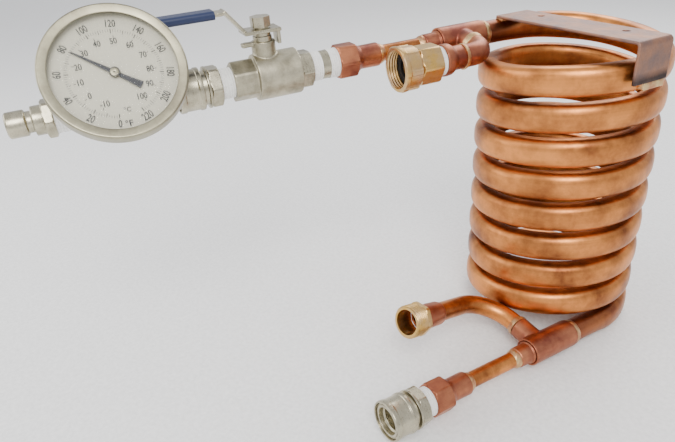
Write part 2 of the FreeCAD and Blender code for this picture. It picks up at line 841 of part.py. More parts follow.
def coupling(prefix, start, arm):
    """A female quick coupling: socket, O-ring, lock balls, snap ring and sprung sleeve."""
    name = prefix + "_socket"
    flats = hexagon(name + "_flats", "coupler_hex_radius", "coupler_hex_length", start, 30)
    collar_at = start + size("coupler_hex_length")
    collar = cylinder(
        name + "_collar", "coupler_collar_radius", "coupler_collar_length", collar_at
    )
    neck = cylinder(name + "_neck", "coupler_neck_radius", "coupler_neck_end", start)
    thread = cylinder(
        name + "_thread", "nipple_radius + socket_clearance", "socket_thread", start
    )
    through = cylinder(name + "_through", "port_radius", "coupler_neck_end", start)
    bore = cylinder(
        name + "_bore",
        "coupler_bore_radius",
        "coupler_neck_end - coupler_bore_floor",
        start + size("coupler_bore_floor"),
    )
    mouth = cylinder(
        name + "_mouth",
        "land_radius + land_clearance",
        "coupler_neck_end - land_floor",
        start + size("land_floor"),
    )
    oring_at = start + size("oring_at")
    groove = cylinder(
        name + "_groove",
        "oring_ring + oring_section + socket_clearance",
        "2 * oring_section + 2 * socket_clearance",
        oring_at - size("oring_section") - size("socket_clearance"),
    )
    ball_at = start + size("ball_at")
    holes = ball_ring(name + "_ball_hole", 0.0, ball_at)
    body = fuse(name + "_outside", flats, collar, neck)
    node(cut(name, body, thread, through, bore, mouth, groove, *holes), name, arm)
    oring = torus(prefix + "_oring", "oring_ring", "oring_section", oring_at)
    node(oring, prefix + "_oring", arm.multiply(oring.Placement))
    ball_circle = size(prefix + "_ball_ring")
    balls = group(prefix + "_lock_balls", *ball_ring(prefix + "_ball", ball_circle, ball_at))
    node(balls, prefix + "_lock_balls", arm)
    snap = ring(
        prefix + "_snap_ring",
        "snap_radius",
        "coupler_neck_radius",
        "snap_thick",
        start + size("snap_at") - size("snap_thick") / 2,
    )
    node(snap, prefix + "_snap_ring", arm)
    sleeve_at = start + size("sleeve_back")
    front_at = start + size("sleeve_front")
    shell = cylinder(
        prefix + "_sleeve_shell", "sleeve_radius", "sleeve_front - sleeve_back", sleeve_at
    )
    ridge_length = size("sleeve_ridge_length")
    rear_ridge = cylinder(
        prefix + "_rear_ridge", "sleeve_ridge_radius", "sleeve_ridge_length", sleeve_at
    )
    front_ridge = cylinder(
        prefix + "_front_ridge",
        "sleeve_ridge_radius",
        "sleeve_ridge_length",
        front_at - ridge_length,
    )
    slide = cylinder(
        prefix + "_sleeve_bore",
        "coupler_neck_radius + sleeve_clearance",
        "sleeve_front - sleeve_back",
        sleeve_at,
    )
    open_front = cylinder(
        prefix + "_sleeve_mouth",
        "sleeve_mouth_radius",
        "sleeve_mouth_depth",
        front_at - size("sleeve_mouth_depth"),
    )
    outside = fuse(prefix + "_sleeve_outside", shell, rear_ridge, front_ridge)
    node(cut(prefix + "_sleeve", outside, slide, open_front), prefix + "_sleeve", arm)


coupling("upper", upper_socket_at, top_arm)
coupling("lower", lower_socket_at, bottom_arm)


# ---------------------------------------------------------------- dial thermometer

head = on_arm(top_arm, size("head_at"))
run_half = size("run_half")
plug_face = size("outer_plug_hex_at") - size("head_at")


def plug(name, hex_face, outward):
    """A coupling plug whose hexagon starts at a station; the nose points along outward Z."""
    flats = hexagon(name + "_flats", "plug_hex_radius", "plug_hex_length", 0, 30)
    land = cylinder(name + "_land", "land_radius", "land_length", size("plug_hex_length"))
    groove_at = size("plug_hex_length") + size("land_length")
    groove = cylinder(name + "_groove", "groove_radius", "groove_length", groove_at)
    nose_at = groove_at + size("groove_length")
    nose = cylinder(name + "_nose", "nose_radius", "nose_length", nose_at)
    thread = cylinder(
        name + "_thread", "nipple_radius", "plug_thread_length", -size("plug_thread_length")
    )
    bore = cylinder(
        name + "_bore",
        "plug_bore",
        "plug_thread_length + plug_hex_length + land_length + groove_length + nose_length",
        -size("plug_thread_length"),
    )
    body = cut(name, fuse(name + "_outside", flats, land, groove, nose, thread), bore)
    flip = FreeCAD.Rotation() if outward > 0 else FreeCAD.Rotation(X_AXIS, 180)
    place = head.multiply(FreeCAD.Placement(Vector(0, 0, hex_face), flip))
    return node(body, name, place)


inner_face = upper_socket_at + size("sleeve_front") + 1.8 + size("plug_hex_length")
inner_plug_face = inner_face - size("head_at")
plug("head_plug", inner_plug_face, -1)
plug("outlet_plug", plug_face, 1)

side_turn = size("head_tilt_deg")


def to_side(obj):
    """Lays an object made along local Z onto the thermometer's axis in the arm frame."""
    turned(obj, Y_AXIS, 90)
    return turned(obj, Z_AXIS, side_turn)


head_run = cylinder("head_run", "run_radius", "2 * run_half", -run_half)
inner_band = cylinder("inner_band", "band_radius", "band_length", -run_half)
outer_band = cylinder("outer_band", "band_radius", "band_length", run_half - size("band_length"))
branch_length = size("branch_length")
head_branch = to_side(cylinder("head_branch", "run_radius", "branch_length"))
side_band = to_side(
    cylinder("side_band", "band_radius", "band_length", branch_length - size("band_length"))
)
run_bore = cylinder(
    "run_bore", "nipple_radius + socket_clearance", "2 * run_half", -run_half
)
side_bore = to_side(
    cylinder("side_bore", "nipple_radius + socket_clearance", "branch_length")
)
head_outside = fuse("head_outside", head_run, inner_band, outer_band, head_branch, side_band)
node(cut("head_tee", head_outside, run_bore, side_bore), "head_tee", head)

hub_start = branch_length + size("hub_tape")
hub_tape = to_side(tape("hub_tape", branch_length, size("hub_tape")))
node(
    group(
        "head_tape",
        tape("tape_at_head_plug", inner_plug_face, -run_half - inner_plug_face),
        tape("tape_at_outlet_plug", run_half, plug_face - run_half),
        hub_tape,
    ),
    "head_tape",
    head,
)

dial_frame = head.multiply(
    FreeCAD.Placement(
        Vector(0, 0, 0),
        FreeCAD.Rotation(Z_AXIS, side_turn).multiply(FreeCAD.Rotation(Y_AXIS, 90)),
    )
)

hub_flats = hexagon("hub_flats", "hub_hex_radius", "hub_hex_length", hub_start, 30)
hub_neck = cylinder(
    "hub_neck",
    "hub_neck_radius",
    "case_back - branch_length - hub_tape - hub_hex_length",
    hub_start + size("hub_hex_length"),
)
hub_thread = cylinder("hub_thread", "nipple_radius", "thread_depth", hub_start - size("thread_depth"))
probe = cylinder("probe", "probe_radius", "hub_tape + branch_length - probe_end", size("probe_end"))
node(
    fuse("thermometer_stem", hub_flats, hub_neck, hub_thread, probe),
    "thermometer_stem",
    dial_frame,
)

pan = cylinder("pan", "case_radius", "case_front - case_back", size("case_back"))
pan_inside = cylinder(
    "pan_inside",
    "case_radius - case_wall",
    "case_front - case_back - case_wall",
    size("case_back") + size("case_wall"),
)
node(cut("dial_case", pan, pan_inside), "dial_case", dial_frame)
dial_disc = cylinder("dial_disc", "case_radius - case_wall", "dial_thick", size("dial_back"))
dial_hole = cylinder("dial_hole", "dial_hole", "dial_thick", size("dial_back"))
node(cut("dial_plate", dial_disc, dial_hole), "dial_plate", dial_frame)

bezel_outside = cylinder(
    "bezel_outside", "bezel_radius", "bezel_front - bezel_back", size("bezel_back")
)
bezel_inside = cylinder(
    "bezel_inside", "case_radius", "glass_back + glass_thick - bezel_back", size("bezel_back")
)
lip_at = size("glass_back") + size("glass_thick")
bezel_slant = cone(
    "bezel_slant",
    "bezel_window",
    "bezel_window + bezel_slope",
    "bezel_front - glass_back - glass_thick",
    lip_at,
)
node(cut("bezel", bezel_outside, bezel_inside, bezel_slant), "bezel", dial_frame)
glass = cylinder("dial_glass", "case_radius", "glass_thick", size("glass_back"))
node(glass, "dial_glass", dial_frame.multiply(glass.Placement))


def needle_outline():
    """Corners of the needle: a fine point, a waist at the spindle and a broad square tail."""
    half = size("needle_width") / 2
    half_tail = size("needle_tail_width") / 2
    reach = size("needle_reach")
    tail = size("needle_tail")
    right = [(reach, 0.35), (0, half), (-tail * 0.3, half * 0.9), (-tail, half_tail)]
    left = [(x, -y) for x, y in reversed(right)]
    corners = [Vector(x, y, size("needle_low")) for x, y in right + left]
    return Part.makePolygon(corners + corners[:1])


needle = Part.Face(needle_outline()).extrude(Vector(0, 0, size("needle_thick")))
boss_low = size("needle_low") - 0.4
boss = Part.makeCylinder(size("pointer_hub_radius"), 2.0, Vector(0, 0, boss_low))
spindle_low = size("case_back") + size("case_wall") + 0.5
spindle = Part.makeCylinder(
    size("spindle_radius"), boss_low + 1 - spindle_low, Vector(0, 0, spindle_low)
)
pointer_turn = FreeCAD.Rotation(Z_AXIS, size("needle_deg"))
pointer = shape_node("pointer", needle.fuse([boss, spindle]).removeSplitter())
node(
    pointer,
    "pointer",
    dial_frame.multiply(FreeCAD.Placement(Vector(0, 0, 0), pointer_turn)),
)


# ---------------------------------------------------------------- water outlet

outlet_turn = FreeCAD.Rotation(Z_AXIS, size("outlet_branch_deg"))
branch_root = on_arm(top_arm, size("top_branch_at")).multiply(
    FreeCAD.Placement(Vector(0, 0, 0), outlet_turn)
)
outlet = branch_root.multiply(
    FreeCAD.Placement(Vector(size("elbow_offset"), 0, 0), FreeCAD.Rotation())
)


def elbow_pipe(first_x, last_z, outer, inner):
    """A pipe from the branch round the elbow to a station along the hose axis, in branch_root."""
    bend = size("elbow_bend")
    offset = size("elbow_offset")
    diagonal = bend * (1 - math.sqrt(0.5))
    a = Vector(first_x, 0, 0)
    b = Vector(offset - bend, 0, 0)
    c = Vector(offset - diagonal, 0, diagonal)
    d = Vector(offset, 0, bend)
    e = Vector(offset, 0, last_z)
    edges = [
        Part.LineSegment(a, b).toShape(),
        Part.Arc(b, c, d).toShape(),
        Part.LineSegment(d, e).toShape(),
    ]
    path = Part.Wire(edges)
    return pipe(path, a, X_AXIS, outer, inner)


branch_root_at = size("branch_root")
outlet_reach = size("outlet_reach")
elbow_end = size("elbow_end")
tail_start = Vector(branch_root_at, 0, 0)
tail_length = outlet_reach - branch_root_at
tail = Part.makeCylinder(size("branch_tube_od") / 2, tail_length, tail_start, X_AXIS)
tail_bore = Part.makeCylinder(size("elbow_bore"), tail_length, tail_start, X_AXIS)
elbow_outer = elbow_pipe(outlet_reach, elbow_end, size("elbow_radius"), size("elbow_bore"))
node(
    shape_node("outlet_elbow", elbow_outer.fuse(tail.cut(tail_bore)).removeSplitter()),
    "outlet_elbow",
    branch_root,
)

cup = cylinder("outlet_cup", "outlet_cup_radius", "outlet_flare_at - elbow_end", elbow_end)
flare = cone(
    "outlet_flare",
    "outlet_cup_radius",
    "outlet_flare_radius",
    "outlet_flare_end - outlet_flare_at",
    size("outlet_flare_at"),
)
flare_rim = cylinder(
    "outlet_rim",
    "outlet_flare_radius",
    "outlet_cup_end - outlet_flare_end",
    size("outlet_flare_end"),
)
cup_bore = cylinder("outlet_cup_bore", "elbow_bore", "outlet_cup_end - elbow_end", elbow_end)
socket_thread = size("socket_thread")
cup_thread = cylinder(
    "outlet_cup_thread",
    "nipple_radius + socket_clearance",
    "socket_thread - 4",
    size("outlet_cup_end") - socket_thread + 4,
)
node(
    cut("outlet_adapter", fuse("outlet_cup_body", cup, flare, flare_rim), cup_bore, cup_thread),
    "outlet_adapter",
    outlet,
)

cup_end = size("outlet_cup_end")
hex_start = size("tail_hex_start")
hose_tape = tape("outlet_tape", cup_end, hex_start - cup_end)
node(hose_tape, "outlet_tape", outlet)

thread_end = cup_end - socket_thread + 5
tail_thread = cylinder("tail_thread", "nipple_radius", "tail_hex_start", thread_end)
tail_thread.setExpression("Height", None)
tail_thread.Height = hex_start - thread_end
tail_hex = hexagon("tail_hex", "tail_hex_radius", "tail_hex_end - tail_hex_start", hex_start, 30)
tail_neck = cylinder(
    "tail_neck", "tail_neck_radius", "tail_flange_end - tail_hex_end", size("tail_hex_end")
)
tail_flange = cylinder(
    "tail_flange",
    "tail_flange_radius",
    "tail_flange_end - tail_flange_start",
    size("tail_flange_start"),
)
tail_bore = cylinder("tail_hole", "hose_bore", "tail_flange_end", 0)
node(
    cut(
        "hose_tailpiece",
        fuse("tail_outside", tail_thread, tail_hex, tail_neck, tail_flange),
        tail_bore,
    ),
    "hose_tailpiece",
    outlet,
)
node(
    ring(
        "hose_washer",
        "tail_flange_radius",
        "hose_bore",
        "hose_washer_thick",
        size("tail_flange_end"),
    ),
    "hose_washer",
    outlet,
)

nut_start = size("hose_nut_start")
nut_shell = cylinder("nut_shell", "hose_nut_radius", "hose_nut_end - hose_nut_start", nut_start)
rim_start = size("hose_nut_end") - size("hose_rim_length")
nut_rim = cylinder("nut_rim", "hose_nut_rim", "hose_rim_length", rim_start)
lug = box(
    "nut_lug",
    "hose_lug_rise + 1",
    "hose_lug_width",
    "hose_nut_end - hose_nut_start - 2",
    Vector(size("hose_nut_radius") - 1, -size("hose_lug_width") / 2, nut_start + 1),
)
doc.recompute()
lugs = around(lug, int(size("hose_lugs")), "nut_lug")
nut_eye = cylinder(
    "nut_eye", "tail_neck_radius + 0.4", "hose_nut_end - hose_nut_start", nut_start
)
nut_relief = cylinder(
    "nut_relief",
    "hose_nut_relief",
    "hose_thread_start - hose_nut_start - hose_nut_lip",
    nut_start + size("hose_nut_lip"),
)
nut_thread = cylinder(
    "nut_thread",
    "hose_thread_bore",
    "hose_nut_end - hose_thread_start",
    size("hose_thread_start"),
)
nut_outside = fuse("nut_outside", nut_shell, nut_rim, *lugs)
node(cut("hose_swivel_nut", nut_outside, nut_eye, nut_relief, nut_thread), "hose_swivel_nut", outlet)


# ---------------------------------------------------------------- water inlet

tee_middle = on_arm(bottom_arm, size("bottom_branch_at"))
branch_angle = math.radians(size("inlet_branch_deg"))
twist = math.radians(size("inlet_twist_deg"))
sweep = math.radians(size("inlet_bend_deg"))
inlet_first = Vector(-math.cos(branch_angle), math.sin(branch_angle), 0)
inlet_side = Vector(math.sin(branch_angle), math.cos(branch_angle), 0)
inlet_bend_side = Z_AXIS * math.cos(twist) + inlet_side * math.sin(twist)
inlet_last = inlet_first * math.cos(sweep) + inlet_bend_side * math.sin(sweep)
bend_radius = size("inlet_bend_radius")
bend_start = inlet_first * size("inlet_straight")
bend_centre = bend_start + inlet_bend_side * bend_radius


def on_bend(angle):
    """A point of the inlet's bend at an angle from its start."""
    return (
        bend_centre
        - inlet_bend_side * (bend_radius * math.cos(angle))
        + inlet_first * (bend_radius * math.sin(angle))
    )


bend_end = on_bend(sweep)
tube_end = bend_end + inlet_last * size("inlet_run")
inlet_start = inlet_first * branch_root_at
inlet_path = Part.Wire(
    [
        Part.LineSegment(inlet_start, bend_start).toShape(),
        Part.Arc(bend_start, on_bend(sweep / 2), bend_end).toShape(),
        Part.LineSegment(bend_end, tube_end).toShape(),
    ]
)
inlet_outer = size("branch_tube_od") / 2
inlet_pipe = pipe(
    inlet_path, inlet_start, inlet_first, inlet_outer, inlet_outer - size("inlet_wall")
)
node(shape_node("inlet_pipe", inlet_pipe), "inlet_pipe", tee_middle)

inlet = tee_middle.multiply(axis_frame(tube_end, inlet_last, inlet_first))
cup_outside = cylinder("cup_outside", "cup_radius", "cup_length + cup_overlap")
cup_outside.Placement.Base = Vector(0, 0, -size("cup_overlap"))
cup_socket = cylinder("cup_socket", "branch_tube_od / 2 + socket_clearance", "cup_overlap")
cup_socket.Placement.Base = Vector(0, 0, -size("cup_overlap"))
cup_hole = cylinder("cup_hole", "elbow_bore", "cup_length")
node(cut("inlet_cup", cup_outside, cup_socket, cup_hole), "inlet_cup", inlet)

flange_at = size("cup_length")
male_flange = hexagon(
    "male_flange", "male_flange_radius", "male_flange_length", flange_at, 30
)
male_thread = cylinder(
    "male_thread",
    "male_thread_radius",
    "male_thread_length",
    flange_at + size("male_flange_length"),
)
male_hole = cylinder(
    "male_hole", "male_bore", "male_flange_length + male_thread_length", flange_at
)
node(
    cut("male_hose_fitting", fuse("male_outside", male_flange, male_thread), male_hole),
    "male_hose_fitting",
    inlet,
)


# ---------------------------------------------------------------- brazed joints


def bead(name, tube_radius, at):
    """A ring of braze round a tube, from a station outwards."""
    outer = tube_radius + " + braze_rise"
    inner = tube_radius + " + socket_clearance"
    return ring(name, outer, inner, "braze_length", at)


bead_length = size("braze_length")
side_bead = turned(bead("bead_outlet_branch", "branch_tube_od / 2 + 0.95", 0), Y_AXIS, 90)
side_bead = turned(side_bead, Z_AXIS, size("outlet_branch_deg"), Vector(0, 0, size("top_branch_at")))
step_out = Vector(outlet_reach, 0, 0)
step_out = FreeCAD.Rotation(Z_AXIS, size("outlet_branch_deg")).multVec(step_out)
side_bead.Placement.Base = side_bead.Placement.Base + step_out
elbow_shift = outlet_turn.multVec(Vector(size("elbow_offset"), 0, 0))
elbow_bead = bead("bead_outlet_elbow", "outlet_cup_radius", 0)
elbow_bead.Placement.Base = elbow_shift + Vector(0, 0, size("top_branch_at") + elbow_end)
node(
    group(
        "top_braze",
        bead("bead_top_tee", "jacket_od / 2", size("top_tee_start") - bead_length),
        bead("bead_top_reducer", "wort_od / 2", size("top_tee_end") + size("reducer_length")),
        bead("bead_top_adapter", "wort_od / 2", size("top_adapter_at") - bead_length),
        side_bead,
        elbow_bead,
    ),
    "top_braze",
    top_arm,
)

inlet_bead = bead("bead_inlet_branch", "branch_tube_od / 2", 0)
inlet_place = axis_frame(inlet_first * size("inlet_reach"), inlet_first, Z_AXIS)
inlet_bead.Placement = FreeCAD.Placement(
    Vector(0, 0, size("bottom_branch_at")), FreeCAD.Rotation()
).multiply(inlet_place)
node(
    group(
        "bottom_braze",
        bead("bead_bottom_tee", "jacket_od / 2", size("bottom_tee_start") - bead_length),
        bead(
            "bead_bottom_reducer", "wort_od / 2", size("bottom_tee_end") + size("reducer_length")
        ),
        bead("bead_bottom_adapter", "wort_od / 2", size("bottom_adapter_at") - bead_length),
        inlet_bead,
    ),
    "bottom_braze",
    bottom_arm,
)


# ---------------------------------------------------------------- bracket


def bracket_shape():
    """The bent strip: a plate over the coil and a leg down its right side, with two holes."""
    thick = size("bracket_thick")
    bend = size("bracket_bend")
    left = coil_axis.x + size("bracket_left")
    right = left + size("bracket_length")
    low = -size("bracket_leg")
    front = coil_axis.y + size("bracket_middle") - size("bracket_width") / 2
    bulge = math.sqrt(0.5)
    inner = bend - thick

    def at(x, z):
        return Vector(x, front, z)

    outer_arc = Part.Arc(
        at(right - bend, 0), at(right - bend + bend * bulge, -bend + bend * bulge), at(right, -bend)
    )
    inner_arc = Part.Arc(
        at(right - thick, -bend),
        at(right - bend + inner * bulge, -bend + inner * bulge),
        at(right - bend, -thick),
    )
    lines = [
        (at(left, 0), at(right - bend, 0)),
        (at(right, -bend), at(right, low)),
        (at(right, low), at(right - thick, low)),
        (at(right - thick, low), at(right - thick, -bend)),
        (at(right - bend, -thick), at(left, -thick)),
        (at(left, -thick), at(left, 0)),
    ]
    edges = [Part.LineSegment(a, b).toShape() for a, b in lines]
    edges += [outer_arc.toShape(), inner_arc.toShape()]
    outline = Part.Wire(Part.__sortEdges__(edges))
    strip = Part.Face(outline).extrude(Vector(0, size("bracket_width"), 0))
    for side in (-1, 1):
        centre = Vector(side * size("hole_spacing") / 2, 0, -2 * thick)
        strip = strip.cut(Part.makeCylinder(size("hole_diameter") / 2, 4 * thick, centre))
    return strip


node(shape_node("mounting_bracket", bracket_shape()), "mounting_bracket")


def braze_block(x_low, x_high, y_low, y_high, z_low, z_high):
    """A block of braze between the strip and the coil, with the coil's tube taken out of it."""
    corner = coil_axis + Vector(x_low, y_low, z_low)
    block = Part.makeBox(x_high - x_low, y_high - y_low, z_high - z_low, corner)
    return block.cut(jacket_bar)


strip_low = -coil_axis.z - size("bracket_thick")
leg_low = -coil_axis.z - size("bracket_leg")
strip_right = size("bracket_left") + size("bracket_length")
left_braze = braze_block(-65.5, -57.5, -22.0, 6.0, strip_low - 3.2, strip_low)
right_braze = braze_block(
    strip_right - 7.5, strip_right - 0.4, -14.0, 8.0, leg_low - 5.5, leg_low
)
node(
    shape_node("bracket_braze", Part.makeCompound([left_braze, right_braze])),
    "bracket_braze",
)


# ---------------------------------------------------------------- check and write

doc.recompute()
broken = [o.Name for o in doc.Objects if "Invalid" in o.State or "Error" in o.State]
if broken:
    raise RuntimeError("objects in error: " + ", ".join(broken))
for obj in nodes:
    if obj.Shape.isNull() or not obj.Shape.isValid() or obj.Shape.Volume <= 0:
        raise RuntimeError("bad shape: " + obj.Label)

os.makedirs("parts", exist_ok=True)
for obj in nodes:
    obj.Shape.exportStep("parts/%s.step" % obj.Label)
print("wrote %d parts" % len(nodes))
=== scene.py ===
"""Looks of a tube-in-tube copper wort chiller, laid out as a Blender add-on and run as a script."""

import json
import math

import bpy
import numpy as np
from bpy.props import FloatProperty, FloatVectorProperty, PointerProperty
from mathutils import Matrix, Vector


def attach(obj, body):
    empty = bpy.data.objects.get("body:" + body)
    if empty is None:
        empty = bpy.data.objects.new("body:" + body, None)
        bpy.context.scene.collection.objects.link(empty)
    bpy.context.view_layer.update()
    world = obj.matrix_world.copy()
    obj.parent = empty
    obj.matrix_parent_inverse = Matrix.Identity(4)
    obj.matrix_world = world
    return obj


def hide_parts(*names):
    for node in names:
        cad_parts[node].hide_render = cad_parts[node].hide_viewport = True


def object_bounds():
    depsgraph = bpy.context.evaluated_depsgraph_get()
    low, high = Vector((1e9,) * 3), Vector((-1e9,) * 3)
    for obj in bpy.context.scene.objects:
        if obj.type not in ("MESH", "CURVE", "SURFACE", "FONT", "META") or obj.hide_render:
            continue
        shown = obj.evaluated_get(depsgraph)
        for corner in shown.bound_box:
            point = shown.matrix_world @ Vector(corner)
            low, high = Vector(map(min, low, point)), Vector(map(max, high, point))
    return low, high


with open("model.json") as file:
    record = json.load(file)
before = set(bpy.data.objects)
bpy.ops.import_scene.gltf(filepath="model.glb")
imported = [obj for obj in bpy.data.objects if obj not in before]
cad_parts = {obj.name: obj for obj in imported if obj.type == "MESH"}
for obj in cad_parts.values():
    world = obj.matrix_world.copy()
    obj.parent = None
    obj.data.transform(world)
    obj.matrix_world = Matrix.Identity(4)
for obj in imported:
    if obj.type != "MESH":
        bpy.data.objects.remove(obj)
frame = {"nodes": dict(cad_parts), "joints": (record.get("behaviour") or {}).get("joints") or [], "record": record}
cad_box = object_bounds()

bl_info = {
    "name": "Counterflow wort chiller",
    "version": (1, 0, 0),
    "blender": (4, 5, 0),
    "location": "View3D > Sidebar > Chiller",
    "description": "Builds the visible pieces and finishes of a counterflow wort chiller",
    "category": "Object",
}

MM = 0.001
RECORD = frame["record"]
MOUNTS = {mount["name"]: mount for mount in RECORD["mounts"]}
JOINTS = {joint["name"]: joint for joint in frame["joints"]}

# ---------------------------------------------------------------- frames


def axes_at(origin, outward, up):
    """A 4x4 matrix with local Z outward, local Y as near to up as it can be, and X across."""
    z = np.array(outward, float)
    z /= np.linalg.norm(z)
    x = np.cross(np.array(up, float), z)
    x /= np.linalg.norm(x)
    matrix = np.eye(4)
    matrix[:3, 0] = x
    matrix[:3, 1] = np.cross(z, x)
    matrix[:3, 2] = z
    matrix[:3, 3] = origin
    return matrix


def station_frame(point, outward, station_mm, up=(0, 0, 1)):
    """The frame whose station 0 lies station_mm behind a known point of the axis."""
    outward = np.array(outward, float)
    origin = np.array(point, float) - outward / np.linalg.norm(outward) * station_mm * MM
    return axes_at(origin, outward, up)


SWIVEL = JOINTS["thermometer_swivel"]
NEEDLE = JOINTS["pointer_turn"]
NUT = JOINTS["hose_nut_spin"]
INLET = MOUNTS["water_inlet_thread"]
SOCKET = MOUNTS["wort_inlet_socket"]
OUTWARD = np.array(SWIVEL["axis"])
DIAL_UP = np.cross(np.array(NEEDLE["axis"]), -OUTWARD)

# Stations are millimetres along an axis. The first five are the stations of points that the frame
# gives, and the last two are where the water branches leave the arms.
SWIVEL_STATION = 324.4
SOCKET_STATION = 206.5
NUT_STATION = 64.5
INLET_STATION = 23.25
NEEDLE_STATION = 51.6
OUTLET_BRANCH_STATION = 49.0
INLET_BRANCH_STATION = 69.0
OUTLET_BRANCH_TURN = math.radians(-5.9)
INLET_BRANCH_RISE = math.radians(8.7)

FRAMES = {
    "top": station_frame(SWIVEL["pos_m"], OUTWARD, SWIVEL_STATION),
    "bottom": station_frame(SOCKET["pos_m"], SOCKET["axis"], SOCKET_STATION),
    "outlet": station_frame(NUT["pos_m"], NUT["axis"], NUT_STATION),
    "inlet": station_frame(INLET["pos_m"], INLET["axis"], INLET_STATION),
    "dial": station_frame(NEEDLE["pos_m"], NEEDLE["axis"], NEEDLE_STATION, up=DIAL_UP),
}


def branch_frame(arm, station_mm, across, rise):
    """The frame of a branch of an arm, pointing across along the arm's X and rise along its Y."""
    matrix = FRAMES[arm]
    outward = matrix[:3, 0] * across + matrix[:3, 1] * rise
    return axes_at(matrix[:3, 3] + matrix[:3, 2] * station_mm * MM, outward, (0, 0, 1))


FRAMES["outlet_branch"] = branch_frame(
    "top", OUTLET_BRANCH_STATION, math.cos(OUTLET_BRANCH_TURN), math.sin(OUTLET_BRANCH_TURN)
)
FRAMES["inlet_branch"] = branch_frame(
    "bottom", INLET_BRANCH_STATION, -math.cos(INLET_BRANCH_RISE), math.sin(INLET_BRANCH_RISE)
)

# ---------------------------------------------------------------- colour


def linear(code):
    """sRGB hex to linear RGBA."""
    channels = [int(code[i : i + 2], 16) / 255 for i in (1, 3, 5)]
    curve = [c / 12.92 if c <= 0.04045 else ((c + 0.055) / 1.055) ** 2.4 for c in channels]
    return (*curve, 1.0)


def colour(name, code):
    return FloatVectorProperty(
        name=name,
        description="Base colour of the " + name.lower(),
        subtype="COLOR",
        size=4,
        min=0.0,
        max=1.0,
        default=linear(code),
    )


class ChillerColours(bpy.types.PropertyGroup):
    copper: colour("Tube copper", "#E0924E")
    copper_dark: colour("Tube tarnish", "#744028")
    fitting: colour("Fitting copper", "#BC7A58")
    fitting_dark: colour("Brazing heat tint", "#84493C")
    braze: colour("Braze alloy", "#D8BC88")
    strip: colour("Strip copper", "#7A6560")
    strip_dark: colour("Strip scorch", "#3A2D2A")
    steel: colour("Stainless steel", "#C0B9A2")
    steel_dark: colour("Steel shade", "#8F8975")
    bezel: colour("Bezel steel", "#A9A48C")
    brass: colour("Fitting brass", "#D2A95C")
    nut_brass: colour("Swivel nut brass", "#C9AA82")
    heat: colour("Heat tint of the tube ends", "#7E4838")
    tape: colour("Thread tape", "#ECEBE6")
    vinyl: colour("Lever sleeve", "#14244A")
    dial: colour("Dial face", "#CFCAB6")
    ink: colour("Dial ink", "#1C1C1E")
    needle: colour("Needle", "#2E2F34")
    rubber: colour("Rubber", "#141414")
    floor: colour("Floor", "#F8F8F7")


def length(name, words, default_mm):
    return FloatProperty(
        name=name,
        description=words,
        subtype="DISTANCE",
        unit="LENGTH",
        min=0.0,
        default=default_mm * MM,
    )


class ChillerSizes(bpy.types.PropertyGroup):
    tube_height: length("Tube height", "Height of the flattened coil tube's section", 22.3)
    tube_width: length("Tube width", "Width of the flattened coil tube's section", 17.4)
    tube_round: length("Tube diameter", "Diameter of the tube where it is straight", 19.05)
    coil_radius: length("Coil radius", "Radius of the coil at the tube's centre", 63.8)
    coil_pitch: length("Coil pitch", "Rise of the coil in one turn", 27.25)
    exit_bend: length("Exit bend", "Radius of the bends where the arms leave the coil", 150.0)
    hose_pitch: length("Hose thread pitch", "Distance between crests of the hose thread", 2.21)
    pipe_pitch: length("Pipe thread pitch", "Distance between crests of the pipe thread", 1.81)


# ---------------------------------------------------------------- surfaces


def grid_faces(rows, columns, close_rows, close_columns):
    """Quads of a rows x columns grid of points, joined end to end where asked."""
    i = np.arange(rows if close_rows else rows - 1)
    j = np.arange(columns if close_columns else columns - 1)
    i, j = np.meshgrid(i, j, indexing="ij")
    below = ((i + 1) % rows) * columns
    right = (j + 1) % columns
    quads = np.stack([i * columns + j, i * columns + right, below + right, below + j], axis=-1)
    return quads.reshape(-1, 4)


def new_mesh(name, points, faces, uv=None, sharp_deg=38.0):
    """A mesh object from arrays of points (metres) and faces, smooth but for its sharp edges."""
    mesh = bpy.data.meshes.new(name)
    mesh.from_pydata(points.tolist(), [], [list(face) for face in faces])
    if uv is not None:
        layer = mesh.uv_layers.new(name="along")
        index = np.empty(len(mesh.loops), dtype=np.int32)
        mesh.loops.foreach_get("vertex_index", index)
        layer.data.foreach_set("uv", uv[index].astype(np.float32).ravel())
    mesh.validate()
    mesh.shade_smooth()
    mesh.set_sharp_from_angle(angle=math.radians(sharp_deg))
    obj = bpy.data.objects.new(name, mesh)
    bpy.context.scene.collection.objects.link(obj)
    return obj


def placed(points, matrix):
    """Points in millimetres in a local frame, as metres in the row frame."""
    return (points * MM) @ matrix[:3, :3].T + matrix[:3, 3]


def eased(profile, ease):
    """Each corner of a closed profile cut back by ease, with a middle point, so it is rounded."""
    profile = np.array(profile, float)
    before = np.roll(profile, 1, axis=0)
    after = np.roll(profile, -1, axis=0)
    to_before = np.linalg.norm((before - profile)[:, :2], axis=1)
    to_after = np.linalg.norm((after - profile)[:, :2], axis=1)
    back = np.minimum(ease / np.maximum(to_before, 1e-6), 0.35)[:, None]
    forth = np.minimum(ease / np.maximum(to_after, 1e-6), 0.35)[:, None]
    first = profile + (before - profile) * back
    last = profile + (after - profile) * forth
    middle = profile * 0.5 + (first + last) * 0.25
    for column in (2, 3, 4):
        first[:, column] = profile[:, column]
        middle[:, column] = profile[:, column]
        last[:, column] = profile[:, column]
    return np.stack([first, middle, last], axis=1).reshape(-1, 5)


def row(z, r, flat=0.0, depth=0.0, lobe=0.0):
    """One ring of a turned piece: station, radius, hexagon apothem, thread depth, lug height."""
    return (z, r, flat, depth, lobe)


def thread(start, end, radius, depth, step=0.3):
    """Rings of a threaded length, close enough together to show the crests."""
    count = max(4, int(abs(end - start) / step))
    return [row(z, radius, 0.0, depth) for z in np.linspace(start, end, count)]


